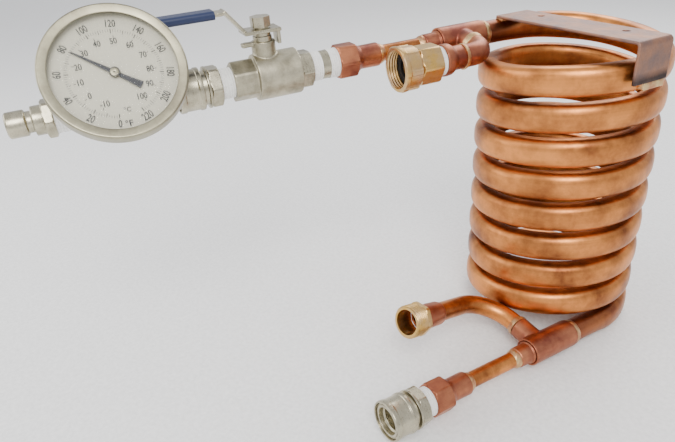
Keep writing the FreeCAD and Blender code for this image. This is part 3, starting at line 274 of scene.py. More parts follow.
def turned(name, where, profile, ease=0.35, pitch=2.21, wobble=0.0, seed=0.0, columns=120):
    """A turned ring: a closed profile carried round local Z.

    At angle a and station z the radius is the profile's own, cut down to apothem / cos(a to the
    nearest flat) where the ring is hexagonal, less depth x (1 - cos(2 pi z / pitch - a)) / 2 where
    it is threaded, plus the lug height over six narrow lugs. A wobble adds slow lumps all over.
    """
    rows = eased(profile, ease) if ease else np.array(profile, float)
    z, r, flat, depth, lobe = (column[:, None] for column in rows.T)
    angle = np.linspace(0, 2 * np.pi, columns, endpoint=False)[None, :]
    to_flat = (angle % (np.pi / 3)) - np.pi / 6
    apothem = np.where(flat > 0, flat / np.cos(to_flat), 1e6)
    radius = np.minimum(r, apothem)
    turns = z / pitch - angle / (2 * np.pi)
    radius = radius - depth * (0.5 - 0.5 * np.cos(2 * np.pi * turns))
    lug = np.clip((np.cos(6 * angle) - 0.62) / 0.18, 0, 1)
    radius = radius + lobe * lug * lug * (3 - 2 * lug)
    if wobble:
        radius = radius + wobble * (
            np.sin(3 * angle + seed + z * 0.9)
            + 0.6 * np.sin(7 * angle - seed * 2 + z * 1.7)
            + 0.4 * np.sin(13 * angle + seed * 5 - z * 2.3)
        )
    points = np.stack(
        [radius * np.cos(angle), radius * np.sin(angle), np.broadcast_to(z, radius.shape)], axis=-1
    )
    faces = grid_faces(len(rows), columns, True, True)
    area = np.sum(rows[:, 0] * np.roll(rows[:, 1], -1) - np.roll(rows[:, 0], -1) * rows[:, 1])
    if area > 0:
        faces = faces[:, ::-1]
    return new_mesh(name, placed(points.reshape(-1, 3), FRAMES[where]), faces)


def joined(name, objects):
    """Several meshes as one piece."""
    points = []
    faces = []
    offset = 0
    for obj in objects:
        mesh = obj.data
        co = np.empty(len(mesh.vertices) * 3)
        mesh.vertices.foreach_get("co", co)
        points.append(co.reshape(-1, 3))
        faces += [[v + offset for v in polygon.vertices] for polygon in mesh.polygons]
        offset += len(mesh.vertices)
        bpy.data.objects.remove(obj)
    return new_mesh(name, np.concatenate(points), faces)


def cast(name, node, voxel_mm, passes):
    """A copy of a CAD node remade from even voxels and relaxed, which rounds edges and corners."""
    source = frame["nodes"][node]
    mesh = source.data.copy()
    obj = bpy.data.objects.new(name + "_rough", mesh)
    bpy.context.scene.collection.objects.link(obj)
    weld = obj.modifiers.new("weld", "WELD")
    weld.merge_threshold = 0.00002
    voxels = obj.modifiers.new("voxels", "REMESH")
    voxels.mode = "VOXEL"
    voxels.voxel_size = voxel_mm * MM
    relax = obj.modifiers.new("relax", "SMOOTH")
    relax.factor = 0.5
    relax.iterations = passes
    depsgraph = bpy.context.evaluated_depsgraph_get()
    made = bpy.data.meshes.new_from_object(obj.evaluated_get(depsgraph))
    bpy.data.objects.remove(obj)
    made.name = name
    made.materials.clear()
    made.shade_smooth()
    piece = bpy.data.objects.new(name, made)
    bpy.context.scene.collection.objects.link(piece)
    return piece


def finish(obj, material, body, slot, *nodes):
    """Gives a piece its finish, lets it ride on a body and hides the CAD nodes it stands for."""
    obj.data.materials.clear()
    obj.data.materials.append(material)
    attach(obj, body)
    if nodes:
        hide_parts(*nodes)
    return obj


# ---------------------------------------------------------------- materials


def add(tree, kind, settings=None, **values):
    """Adds a shader node: settings are its own properties, values its sockets' links or numbers."""
    made = tree.nodes.new("ShaderNode" + kind)
    for key, value in (settings or {}).items():
        setattr(made, key, value)
    for key, value in values.items():
        socket = made.inputs[int(key[1:])] if key[0] == "i" and key[1:].isdigit() else None
        socket = socket or made.inputs[key.replace("_", " ")]
        if isinstance(value, bpy.types.NodeSocket):
            tree.links.new(value, socket)
        else:
            socket.default_value = value
    return made


def blank(name):
    """A new node material and its tree, with nothing in it but the output."""
    material = bpy.data.materials.new(name)
    material.use_nodes = True
    tree = material.node_tree
    tree.nodes.clear()
    return material, tree


def pattern(tree, scale, detail, stretch=(1, 1, 1), where=None, source="Object"):
    """Noise whose grain is 1 / scale metres, stretched, on Object coordinates in a local frame."""
    place = add(tree, "TexCoord").outputs[source]
    if where is not None:
        inverse = Matrix(FRAMES[where].tolist()).inverted()
        place = add(
            tree,
            "Mapping",
            Vector=place,
            Location=inverse.to_translation(),
            Rotation=inverse.to_euler(),
        ).outputs[0]
    place = add(tree, "Mapping", Vector=place, Scale=stretch).outputs[0]
    return add(tree, "TexNoise", Vector=place, Scale=scale, Detail=detail, Roughness=0.6).outputs[0]


def ramp(tree, factor, low, high, first, second):
    """A ramp of a factor, from the first colour at low to the second at high."""
    made = add(tree, "ValToRGB", Fac=factor)
    made.color_ramp.elements[0].position = low
    made.color_ramp.elements[1].position = high
    made.color_ramp.elements[0].color = first
    made.color_ramp.elements[1].color = second
    return made.outputs[0]


def heat_tinted(tree, base, tint, total, reach):
    """The base colour, turning to the tint towards both ends of a tube whose U runs in metres."""
    along = add(tree, "SeparateXYZ", Vector=add(tree, "TexCoord").outputs["UV"]).outputs[0]
    first = add(tree, "MapRange", Value=along, i1=0.0, i2=reach, i3=1.0, i4=0.0).outputs[0]
    last = add(tree, "MapRange", Value=along, i1=total - reach, i2=total, i3=0.0, i4=1.0).outputs[0]
    heat = add(tree, "Math", {"operation": "MAXIMUM"}, i0=first, i1=last).outputs[0]
    return add(tree, "Mix", {"data_type": "RGBA"}, i0=heat, i6=base, i7=tint).outputs[2]


def metal(name, light, dark, grain, rough, bump, blotch=40.0, heat=None):
    """A metal whose colour drifts from light to dark in blotches, with a fine grain in its gloss.

    grain is two (scale, stretch, frame, source) noises, as marks() gives; their mean drives
    roughness and bump. heat is the tint of both ends of a tube, its length and how far the tint
    reaches, in metres.
    """
    material, tree = blank(name)
    cloud = pattern(tree, blotch, 6.0)
    tint = ramp(tree, cloud, 0.38, 0.68, light, dark)
    if heat:
        tint = heat_tinted(tree, tint, *heat)
    coarse, even = (
        pattern(tree, scale, 4.0, stretch, where, source) for scale, stretch, where, source in grain
    )
    fine = add(tree, "Mix", {"data_type": "FLOAT"}, i0=0.5, i2=coarse, i3=even).outputs[0]
    low, high = rough
    gloss = add(tree, "MapRange", Value=fine, i1=0.3, i2=0.7, i3=low, i4=high).outputs[0]
    shade = add(
        tree,
        "Mix",
        {"data_type": "RGBA", "blend_type": "MULTIPLY"},
        i0=0.35,
        i6=tint,
        i7=ramp(tree, fine, 0.3, 0.62, (0.45, 0.42, 0.40, 1), (1, 1, 1, 1)),
    ).outputs[2]
    relief = add(tree, "Bump", Height=fine, Strength=0.6, Distance=bump * MM).outputs[0]
    surface = add(
        tree, "BsdfPrincipled", Base_Color=shade, Metallic=1.0, Roughness=gloss, Normal=relief
    )
    add(tree, "OutputMaterial", Surface=surface.outputs[0])
    return material


def plain(name, base, rough, scale, bump):
    """A plastic or painted surface with a fine grain in its bump and a little in its colour."""
    material, tree = blank(name)
    grain = pattern(tree, scale, 5.0)
    darker = tuple(c * 0.86 for c in base[:3]) + (1.0,)
    tint = ramp(tree, grain, 0.3, 0.65, darker, base)
    relief = add(tree, "Bump", Height=grain, Strength=0.5, Distance=bump * MM).outputs[0]
    gloss = add(
        tree, "MapRange", Value=grain, i1=0.3, i2=0.7, i3=rough - 0.06, i4=rough + 0.06
    ).outputs[0]
    surface = add(tree, "BsdfPrincipled", Base_Color=tint, Roughness=gloss, Normal=relief)
    add(tree, "OutputMaterial", Surface=surface.outputs[0])
    return material


def pane(name):
    """Clear float glass: mostly see-through, with the gloss of a flat polished face."""
    material, tree = blank(name)
    smear = pattern(tree, 30.0, 3.0)
    gloss = add(tree, "MapRange", Value=smear, i1=0.3, i2=0.7, i3=0.02, i4=0.08).outputs[0]
    surface = add(
        tree,
        "BsdfPrincipled",
        Base_Color=(0.9, 0.95, 0.95, 1.0),
        Roughness=gloss,
        IOR=1.5,
        Transmission_Weight=1.0,
        Alpha=0.12,
    )
    add(tree, "OutputMaterial", Surface=surface.outputs[0])
    return material


MATERIALS = {}
# How far the heat tint runs from each end of the jacket tube, in metres.
HEAT_REACH = 0.080
# Heights between which the scorch of the strip's bent leg comes in, in metres.
SCORCH_START = -0.0215
SCORCH_FULL = -0.0275
# How much of the strip's worn colour is bare copper.
WORN_SHARE = 0.3


def marks(scale, stretch, where, even_scale, source="Object"):
    """The two noises of a metal: stretched tool marks in a local frame, and an even fine grain."""
    return (scale, stretch, where, source), (even_scale, (1, 1, 1), None, "Object")


def make_materials():
    """Every finish of the chiller, from the colours in the panel."""
    c = {key: tuple(getattr(bpy.context.scene.chiller_colours, key)) for key in COLOUR_NAMES}
    turned_marks = marks(420.0, (0.25, 0.25, 3.0), None, 1500.0)
    arm_marks = marks(500.0, (0.25, 0.25, 3.5), "top", 900.0)
    low_marks = marks(500.0, (0.25, 0.25, 3.5), "bottom", 900.0)
    dial_marks = marks(600.0, (0.3, 0.3, 3.0), "dial", 900.0)
    # Drawn copper tube: draw marks run along the tube, and bending leaves brown tarnish in them.
    drawn = marks(1.0, (14.0, 620.0, 1.0), None, 260.0, "UV")
    line, _ = coil_line(bpy.context.scene.chiller_sizes)
    tube_length = float(np.linalg.norm(np.diff(line, axis=0), axis=1).sum())
    heat = (c["heat"], tube_length, HEAT_REACH)
    MATERIALS["coil"] = metal(
        "drawn_copper", c["copper"], c["copper_dark"], drawn, (0.26, 0.50), 0.05, 26.0, heat
    )
    MATERIALS["tube"] = metal(
        "drawn_copper_arm", c["copper"], c["copper_dark"], arm_marks, (0.26, 0.48), 0.04, 34.0
    )
    # Copper fittings after the torch: red and purple tint, dull.
    MATERIALS["fitting"] = metal(
        "torch_tinted_copper", c["fitting"], c["fitting_dark"], turned_marks, (0.32, 0.55), 0.05
    )
    # Silver-bearing braze, frozen as it flowed: pale gold, slightly lumpy.
    MATERIALS["braze"] = metal(
        "frozen_braze", c["braze"], c["fitting"], turned_marks, (0.3, 0.5), 0.12, 160.0
    )
    # Stainless steel turned from bar: fine lathe marks round the axis.
    MATERIALS["steel"] = metal(
        "turned_stainless", c["steel"], c["steel_dark"], arm_marks, (0.22, 0.40), 0.025, 60.0
    )
    MATERIALS["steel_low"] = metal(
        "turned_stainless_low", c["steel"], c["steel_dark"], low_marks, (0.22, 0.40), 0.025
    )
    # Investment-cast stainless steel, bead blasted: matt, with a fine pebble.
    pebble = marks(950.0, (1, 1, 1), None, 2200.0)
    MATERIALS["cast"] = metal(
        "blasted_cast_stainless", c["steel"], c["steel_dark"], pebble, (0.34, 0.52), 0.10, 80.0
    )
    MATERIALS["bezel"] = metal(
        "spun_stainless", c["bezel"], c["steel_dark"], dial_marks, (0.28, 0.44), 0.02, 50.0
    )
    MATERIALS["brass"] = metal(
        "machined_brass", c["brass"], c["nut_brass"], turned_marks, (0.24, 0.42), 0.03, 90.0
    )
    MATERIALS["nut"] = metal(
        "forged_brass", c["nut_brass"], c["brass"], pebble, (0.30, 0.48), 0.05, 70.0
    )
    MATERIALS["strip"] = scorched_strip(c["strip"], c["strip_dark"], c["copper"])
    MATERIALS["tape"] = plain("ptfe_tape", c["tape"], 0.45, 700.0, 0.10)
    MATERIALS["vinyl"] = plain("dipped_vinyl", c["vinyl"], 0.45, 500.0, 0.05)
    MATERIALS["dial"] = plain("printed_dial_card", c["dial"], 0.55, 900.0, 0.01)
    MATERIALS["ink"] = plain("dial_ink", c["ink"], 0.5, 900.0, 0.01)
    MATERIALS["needle"] = plain("painted_needle", c["needle"], 0.4, 900.0, 0.01)
    MATERIALS["rubber"] = plain("nitrile_rubber", c["rubber"], 0.65, 900.0, 0.05)
    MATERIALS["glass"] = pane("float_glass")


def scorched_strip(base, scorch, copper):
    """Copper strip dulled by heat: grey mauve, with a dark scorch low on its bent leg."""
    material, tree = blank("heat_dulled_strip")
    place = add(tree, "TexCoord").outputs["Object"]
    height = add(tree, "SeparateXYZ", Vector=place).outputs[2]
    cloud = pattern(tree, 55.0, 6.0)
    patch = pattern(tree, 22.0, 4.0)
    worn = tuple((1 - WORN_SHARE) * a + WORN_SHARE * b for a, b in zip(base, copper))
    tint = ramp(tree, cloud, 0.36, 0.66, base, worn)
    low = add(
        tree, "MapRange", Value=height, i1=SCORCH_START, i2=SCORCH_FULL, i3=0.0, i4=0.9
    ).outputs[0]
    burnt = add(tree, "Math", {"operation": "MULTIPLY"}, i0=low, i1=patch).outputs[0]
    doubled = {"operation": "MULTIPLY", "use_clamp": True}
    burnt = add(tree, "Math", doubled, i0=burnt, i1=2.0).outputs[0]
    shade = add(tree, "Mix", {"data_type": "RGBA"}, i0=burnt, i6=tint, i7=scorch).outputs[2]
    fine = pattern(tree, 700.0, 4.0, (0.15, 1.0, 1.0))
    gloss = add(tree, "MapRange", Value=fine, i1=0.3, i2=0.7, i3=0.38, i4=0.58).outputs[0]
    relief = add(tree, "Bump", Height=fine, Strength=0.5, Distance=0.04 * MM).outputs[0]
    surface = add(
        tree, "BsdfPrincipled", Base_Color=shade, Metallic=0.9, Roughness=gloss, Normal=relief
    )
    add(tree, "OutputMaterial", Surface=surface.outputs[0])
    return material


COLOUR_NAMES = list(ChillerColours.__annotations__)


# ---------------------------------------------------------------- coil

HALF_TURNS = 17
HALF_TURN_POINTS = 48
BOTTOM_BEND_POINTS = 8
TOP_BEND_POINTS = 12
# Straight lengths of the jacket on the arms: first and last station, and points.
BOTTOM_ARM = (42.0, 5.0, 8)
TOP_ARM = (12.0, 36.0, 6)
# Points either side over which the section goes from round to flattened.
BLEND_POINTS = 16
# Height of the slight ripple that bending leaves, in metres, and its turn from point to point.
RIPPLE = 0.00012
RIPPLE_STEP = 0.37
# Power of the superellipse where the tube is round, and how much more where it is flattened.
ROUND_POWER = 2.0
FLATTENED_MORE = 0.8
# Scale of V round the tube, so that its draw marks keep their width.
V_SCALE = 0.03


def arm_line(where, start_mm, end_mm, count):
    """Evenly spaced points of an arm's axis between two stations."""
    along = np.linspace(start_mm, end_mm, count)[:, None] * MM
    return FRAMES[where][:3, 3] + FRAMES[where][:3, 2] * along


def exit_arc(where, radius, count):
    """Points of the bend from the coil, heading along -Y, to an arm that starts at station 0."""
    corner = FRAMES[where][:3, 3]
    outward = FRAMES[where][:3, 2]
    heading = np.array([0.0, -1.0, 0.0])
    turn = math.acos(float(heading @ outward))
    side = outward - heading * (heading @ outward)
    side /= np.linalg.norm(side)
    reach = radius * math.tan(turn / 2)
    angle = np.linspace(0, turn, count)[:, None]
    start = corner - heading * reach
    return start + heading * radius * np.sin(angle) + side * radius * (1 - np.cos(angle))


def coil_line(sizes):
    """Centre line of the jacket from the lower tee up to the upper tee, and where it is coiled.

    Each half turn is an arc in a tilted plane: x = side * R cos a, y = side * rho sin a and
    z = rise * (1 - cos a) / 2, which starts and ends level along Y.
    """
    radius = sizes.coil_radius
    rise = sizes.coil_pitch / 2
    low = exit_arc("bottom", sizes.exit_bend, BOTTOM_BEND_POINTS)
    high = exit_arc("top", sizes.exit_bend, TOP_BEND_POINTS)
    start = low[0]
    centre = np.array([start[0] - radius, start[1], start[2]])
    angle = np.linspace(0, np.pi, HALF_TURN_POINTS, endpoint=False)
    rho = math.hypot(radius, rise / 2)
    lines = []
    for step in range(HALF_TURNS):
        side = 1 if step % 2 == 0 else -1
        lines.append(
            centre
            + np.stack(
                [
                    side * radius * np.cos(angle),
                    side * rho * np.sin(angle),
                    rise * step + rise * (1 - np.cos(angle)) / 2,
                ],
                axis=-1,
            )
        )
    coil = np.concatenate(lines)
    low_arm = arm_line("bottom", *BOTTOM_ARM)
    high_arm = arm_line("top", *TOP_ARM)
    line = np.concatenate([low_arm, low[::-1][:-1], coil, high, high_arm])
    coiled = np.zeros(len(line))
    first = len(low_arm) + len(low) - 1
    coiled[first : first + len(coil)] = 1.0
    return line, coiled


def swept_tube(name, line, half_height, half_width, squareness, columns=36):
    """A closed tube carried along a line, its oval section standing upright."""
    tangent = np.gradient(line, axis=0)
    tangent /= np.linalg.norm(tangent, axis=1)[:, None]
    across = np.cross(tangent, np.array([0.0, 0.0, 1.0]))
    across /= np.linalg.norm(across, axis=1)[:, None]
    up = np.cross(across, tangent)
    angle = np.linspace(0, 2 * np.pi, columns, endpoint=False)
    # Superellipse |x/a|^p + |y/b|^p = 1: p is 2 where the tube is round, more where it is flat.
    power = 2.0 / squareness[:, None]
    ring_x = np.sign(np.cos(angle)) * np.abs(np.cos(angle)) ** power
    ring_y = np.sign(np.sin(angle)) * np.abs(np.sin(angle)) ** power
    ring = (
        across[:, None, :] * (ring_x * half_width[:, None])[:, :, None]
        + up[:, None, :] * (ring_y * half_height[:, None])[:, :, None]
        + line[:, None, :]
    )
    count = len(line)
    faces = [list(face) for face in grid_faces(count, columns, False, True)]
    faces.append(list(range(columns))[::-1])
    faces.append([(count - 1) * columns + j for j in range(columns)])
    step = np.linalg.norm(np.diff(line, axis=0, prepend=line[:1]), axis=1)
    along = np.cumsum(step)
    u = np.broadcast_to(along[:, None], (count, columns))
    v = np.broadcast_to((np.abs(angle - np.pi) / np.pi * V_SCALE)[None, :], (count, columns))
    uv = np.stack([u, v], axis=-1).reshape(-1, 2)
    return new_mesh(name, ring.reshape(-1, 3), [face[::-1] for face in faces], uv, 60.0)


class CHILLER_OT_coil(bpy.types.Operator):
    """The coiled jacket tube: round on the arms, flattened by bending in the coil"""

    bl_idname = "chiller.coil"
    bl_label = "Coil"

    def execute(self, context):
        sizes = context.scene.chiller_sizes
        line, coiled = coil_line(sizes)
        window = np.hanning(2 * BLEND_POINTS + 1)
        padded = np.pad(coiled, BLEND_POINTS, mode="edge")
        soft = np.convolve(padded, window / window.sum(), "valid")
        ripple = RIPPLE * np.sin(np.arange(len(line)) * RIPPLE_STEP) * soft
        half_round = sizes.tube_round / 2
        high = half_round + (sizes.tube_height / 2 - half_round) * soft + ripple
        wide = half_round + (sizes.tube_width / 2 - half_round) * soft - ripple
        power = ROUND_POWER + FLATTENED_MORE * soft
        piece = swept_tube("coil_jacket", line, high, wide, power)
        finish(piece, MATERIALS["coil"], "chiller", "coil_copper", "outer_coil")
        return {"FINISHED"}


# ---------------------------------------------------------------- brazed joints


def bead(where, station, tube, rise, seed, width=5.0, steep_end=False):
    """A ring of braze on a tube, steep at its start or at its end, with slow lumps round it."""
    crown = [(0.0, rise), (0.45, rise * 0.8), (1.0, 0.1)]
    if steep_end:
        crown = [(1.0 - share, height) for share, height in reversed(crown)]
    profile = [
        row(station, tube - 0.4),
        *(row(station + width * share, tube + height) for share, height in crown),
        row(station + width, tube - 0.4),
    ]
    return turned("bead", where, profile, 0.6, wobble=0.13, seed=seed, columns=72)


class CHILLER_OT_braze(bpy.types.Operator):
    """Brazed joints of both arms and of the strip"""

    bl_idname = "chiller.braze"
    bl_label = "Brazed joints"

    def execute(self, context):
        top = [
            bead("top", 23.0, 9.5, 1.5, 0.4, steep_end=True),
            bead("top", 84.0, 6.35, 1.5, 1.3),
            bead("top", 120.4, 6.35, 1.9, 2.1, steep_end=True),
            bead("outlet_branch", 19.0, 8.9, 1.3, 3.2),
            bead("outlet", 19.4, 8.9, 1.2, 4.6, width=3.4, steep_end=True),
        ]
        bottom = [
            bead("bottom", 31.0, 9.5, 1.5, 5.0, steep_end=True),
            bead("bottom", 98.0, 6.35, 1.5, 0.9),
            bead("bottom", 146.2, 6.35, 1.9, 2.9, steep_end=True),
            bead("inlet_branch", 25.0, 7.95, 1.5, 1.7),
        ]
        braze = MATERIALS["braze"]
        finish(joined("upper_joints", top), braze, "chiller", "braze_alloy", "top_braze")
        finish(joined("lower_joints", bottom), braze, "chiller", "braze_alloy", "bottom_braze")
        strip = cast("strip_joint", "bracket_braze", 0.5, 10)
        finish(strip, braze, "chiller", "braze_alloy", "bracket_braze")
        return {"FINISHED"}


# ---------------------------------------------------------------- castings


class CHILLER_OT_castings(bpy.types.Operator):
    """Tees, valve body, strip and lever with their edges rounded"""

    bl_idname = "chiller.castings"
    bl_label = "Castings and pressings"

    # piece, CAD node, voxel in mm, smoothing passes, finish, body, slot
    pieces = (
        ("upper_tee", "top_tee", 0.55, 14, "fitting", "chiller", "fitting_copper"),
        ("lower_tee", "bottom_tee", 0.55, 14, "fitting", "chiller", "fitting_copper"),
        ("valve_casting", "valve_body", 0.5, 6, "cast", "chiller", "stainless"),
        ("steel_tee", "head_tee", 0.6, 10, "cast", "thermometer_head", "stainless"),
        ("hanging_strip", "mounting_bracket", 0.5, 3, "strip", "chiller", "strip_copper"),
        ("lever_pressing", "lever_plate", 0.4, 3, "steel", "valve_lever", "stainless"),
        ("lever_grip", "lever_sleeve", 0.4, 5, "vinyl", "valve_lever", "blue_vinyl"),
    )

    def execute(self, context):
        for name, node, voxel, passes, look, body, slot in self.pieces:
            piece = cast(name, node, voxel, passes)
            finish(piece, MATERIALS[look], body, slot, node)
        return {"FINISHED"}


# ---------------------------------------------------------------- turned fittings


# Radius of the bore of a female pipe thread, and half the width across the adapters' flats.
FEMALE_BORE = 10.75
ADAPTER_FLAT = 12.12


def flat_of(corner):
    """Half the width across the flats of a hexagon, from its corner radius."""
    return corner * math.cos(math.pi / 6)


def hexagon(start, end, corner, bore):
    """A hexagonal ring with turned-off corners, as nuts and unions have."""
    flat = flat_of(corner)
    clip = corner * 0.972
    face = flat * 0.97
    return [
        row(start, bore),
        row(start, face, flat),
        row(start + 1.0, clip, flat),
        row(end - 1.0, clip, flat),
        row(end, face, flat),
        row(end, bore),
    ]


def adapter_profile(start):
    """Copper adapter: belled round socket, then a hexagon with a female thread."""
    return [
        row(start, 6.5),
        row(start, 9.0),
        row(start + 1.5, 9.2),
        row(start + 16.0, 9.0),
        row(start + 18.8, 10.6, ADAPTER_FLAT),
        row(start + 21.0, 13.5, ADAPTER_FLAT),
        row(start + 35.0, 13.5, ADAPTER_FLAT),
        row(start + 36.0, 12.0, ADAPTER_FLAT),
        row(start + 36.0, FEMALE_BORE),
        row(start + 24.0, FEMALE_BORE),
        row(start + 24.0, 6.5),
    ]


def tape_profile(start, end):
    """Tape wound over a thread: the crests show through as soft ribs."""
    return [row(start, 10.72), *thread(start, end, 11.15, 0.28), row(end, 10.72)]


def socket_profile(start):
    """Female coupling: hexagon, collar, neck, and the stepped bore that takes the plug."""
    flat = flat_of(15.6)
    return [
        row(start, FEMALE_BORE),
        row(start, 13.2, flat),
        row(start + 1.0, 15.1, flat),
        row(start + 7.5, 15.1, flat),
        row(start + 8.5, 13.4, flat),
        row(start + 8.5, 15.0),
        row(start + 10.2, 15.0),
        row(start + 10.2, 12.2),
        row(start + 30.5, 12.2),
        row(start + 30.5, 10.25),
        row(start + 26.6, 10.25),
        row(start + 26.0, 8.88),
        row(start + 9.8, 8.88),
        row(start + 9.8, 7.0),
        row(start + 9.0, 7.0),
        row(start + 9.0, FEMALE_BORE),
    ]


def sleeve_profile(start):
    """Sliding collar of a coupling: two raised bands and a waist between them."""
    return [
        row(start + 13.5, 12.28),
        row(start + 13.5, 15.0),
        row(start + 14.1, 15.3),
        row(start + 16.6, 15.3),
        row(start + 17.1, 14.6),
        row(start + 26.9, 14.6),
        row(start + 27.5, 15.3),
        row(start + 30.9, 15.3),
        row(start + 31.5, 14.9),
        row(start + 31.5, 13.8),
        row(start + 27.0, 13.8),
        row(start + 27.0, 12.28),
    ]


def plug_profile(face, way):
    """Male coupling plug: threaded tail, hexagon, land, locking groove and nose."""
    flat = flat_of(13.8)
    tail = thread(-19.0, -0.6, 10.67, 0.5) if way > 0 else [row(-19.0, 10.67), row(-0.6, 10.67)]
    rings = [
        row(-19.0, 5.8),
        *tail,
        row(0.0, 10.6),
        row(0.0, 11.6, flat),
        row(0.9, 13.35, flat),
        row(5.6, 13.35, flat),
        row(6.5, 11.6, flat),
        row(6.5, 9.9),
        row(12.6, 9.9),
        row(13.0, 9.5),
        row(13.4, 7.2),
        row(16.8, 7.2),
        row(17.6, 8.8),
        row(28.6, 8.8),
        row(29.7, 7.6),
        row(29.7, 5.8),
    ]
    return [(face + way * z, r, f, d, o) for z, r, f, d, o in rings]


class CHILLER_OT_fittings(bpy.types.Operator):
    """Adapters, reducers, couplings, plugs and thread tape of both arms"""

    bl_idname = "chiller.fittings"
    bl_label = "Turned fittings"

    def execute(self, context):
        pitch = context.scene.chiller_sizes.pipe_pitch / MM

        def make(name, where, profile, look, slot, node, body="chiller"):
            piece = turned(name, where, profile, pitch=pitch)
            finish(piece, MATERIALS[look], body, slot, node)

        for side, where, tee_end, adapter_at in (
            ("upper", "top", 70.5, 125.4),
            ("lower", "bottom", 84.5, 151.2),
        ):
            bush = [
                row(tee_end - 8, 6.5),
                row(tee_end - 8, 9.4),
                row(tee_end + 0.2, 9.4),
                row(tee_end + 1.2, 8.4),
                row(tee_end + 12.6, 8.2),
                row(tee_end + 13.5, 7.4),
                row(tee_end + 13.5, 6.5),
            ]
            make(side + "_bush", where, bush, "fitting", "fitting_copper", where + "_reducer")
            profile = adapter_profile(adapter_at)
            node = where + "_adapter"
            make(side + "_thread_adapter", where, profile, "fitting", "fitting_copper", node)
        tapes = [
            turned("wrap", "top", tape_profile(a, b), 0.0, pitch, 0.05, a)
            for a, b in ((161.4, 169.0), (175.6, 183.2), (244.5, 253.9))
        ]
        finish(joined("upper_tape", tapes), MATERIALS["tape"], "chiller", "ptfe", "top_tape")
        low = turned("lower_tape", "bottom", tape_profile(187.2, 194.5), 0.0, pitch, 0.05, 3.0)
        finish(low, MATERIALS["tape"], "chiller", "ptfe", "bottom_tape")
        head = [
            turned("wrap", "top", tape_profile(293.7, 294.9), 0.0, pitch, 0.05, 1.0),
            turned("wrap", "top", tape_profile(353.9, 367.3), 0.0, pitch, 0.07, 2.0),
            turned("wrap", "dial", tape_profile(28.0, 30.5), 0.0, pitch, 0.05, 5.0),
        ]
        wraps = joined("head_wraps", head)
        finish(wraps, MATERIALS["tape"], "thermometer_head", "ptfe", "head_tape")
        cap = hexagon(183.2, 193.5, 14.6, FEMALE_BORE)
        make("valve_cap", "top", cap, "steel", "stainless", "valve_end_cap")
        for side, where, start, look in (
            ("upper", "top", 253.9, "steel"),
            ("lower", "bottom", 194.5, "steel_low"),
        ):
            profile = socket_profile(start)
            make(side + "_coupling", where, profile, look, "stainless", side + "_socket")
            profile = sleeve_profile(start)
            name, node, body = side + "_sliding_collar", side + "_sleeve", side + "_collar"
            make(name, where, profile, look, "stainless", node, body)
        head_body = "thermometer_head"
        profile = plug_profile(293.7, -1)
        make("inner_plug", "top", profile, "steel", "stainless", "head_plug", head_body)
        profile = plug_profile(367.3, 1)
        make("outer_plug", "top", profile, "steel", "stainless", "outlet_plug", head_body)
        return {"FINISHED"}


# ---------------------------------------------------------------- water fittings


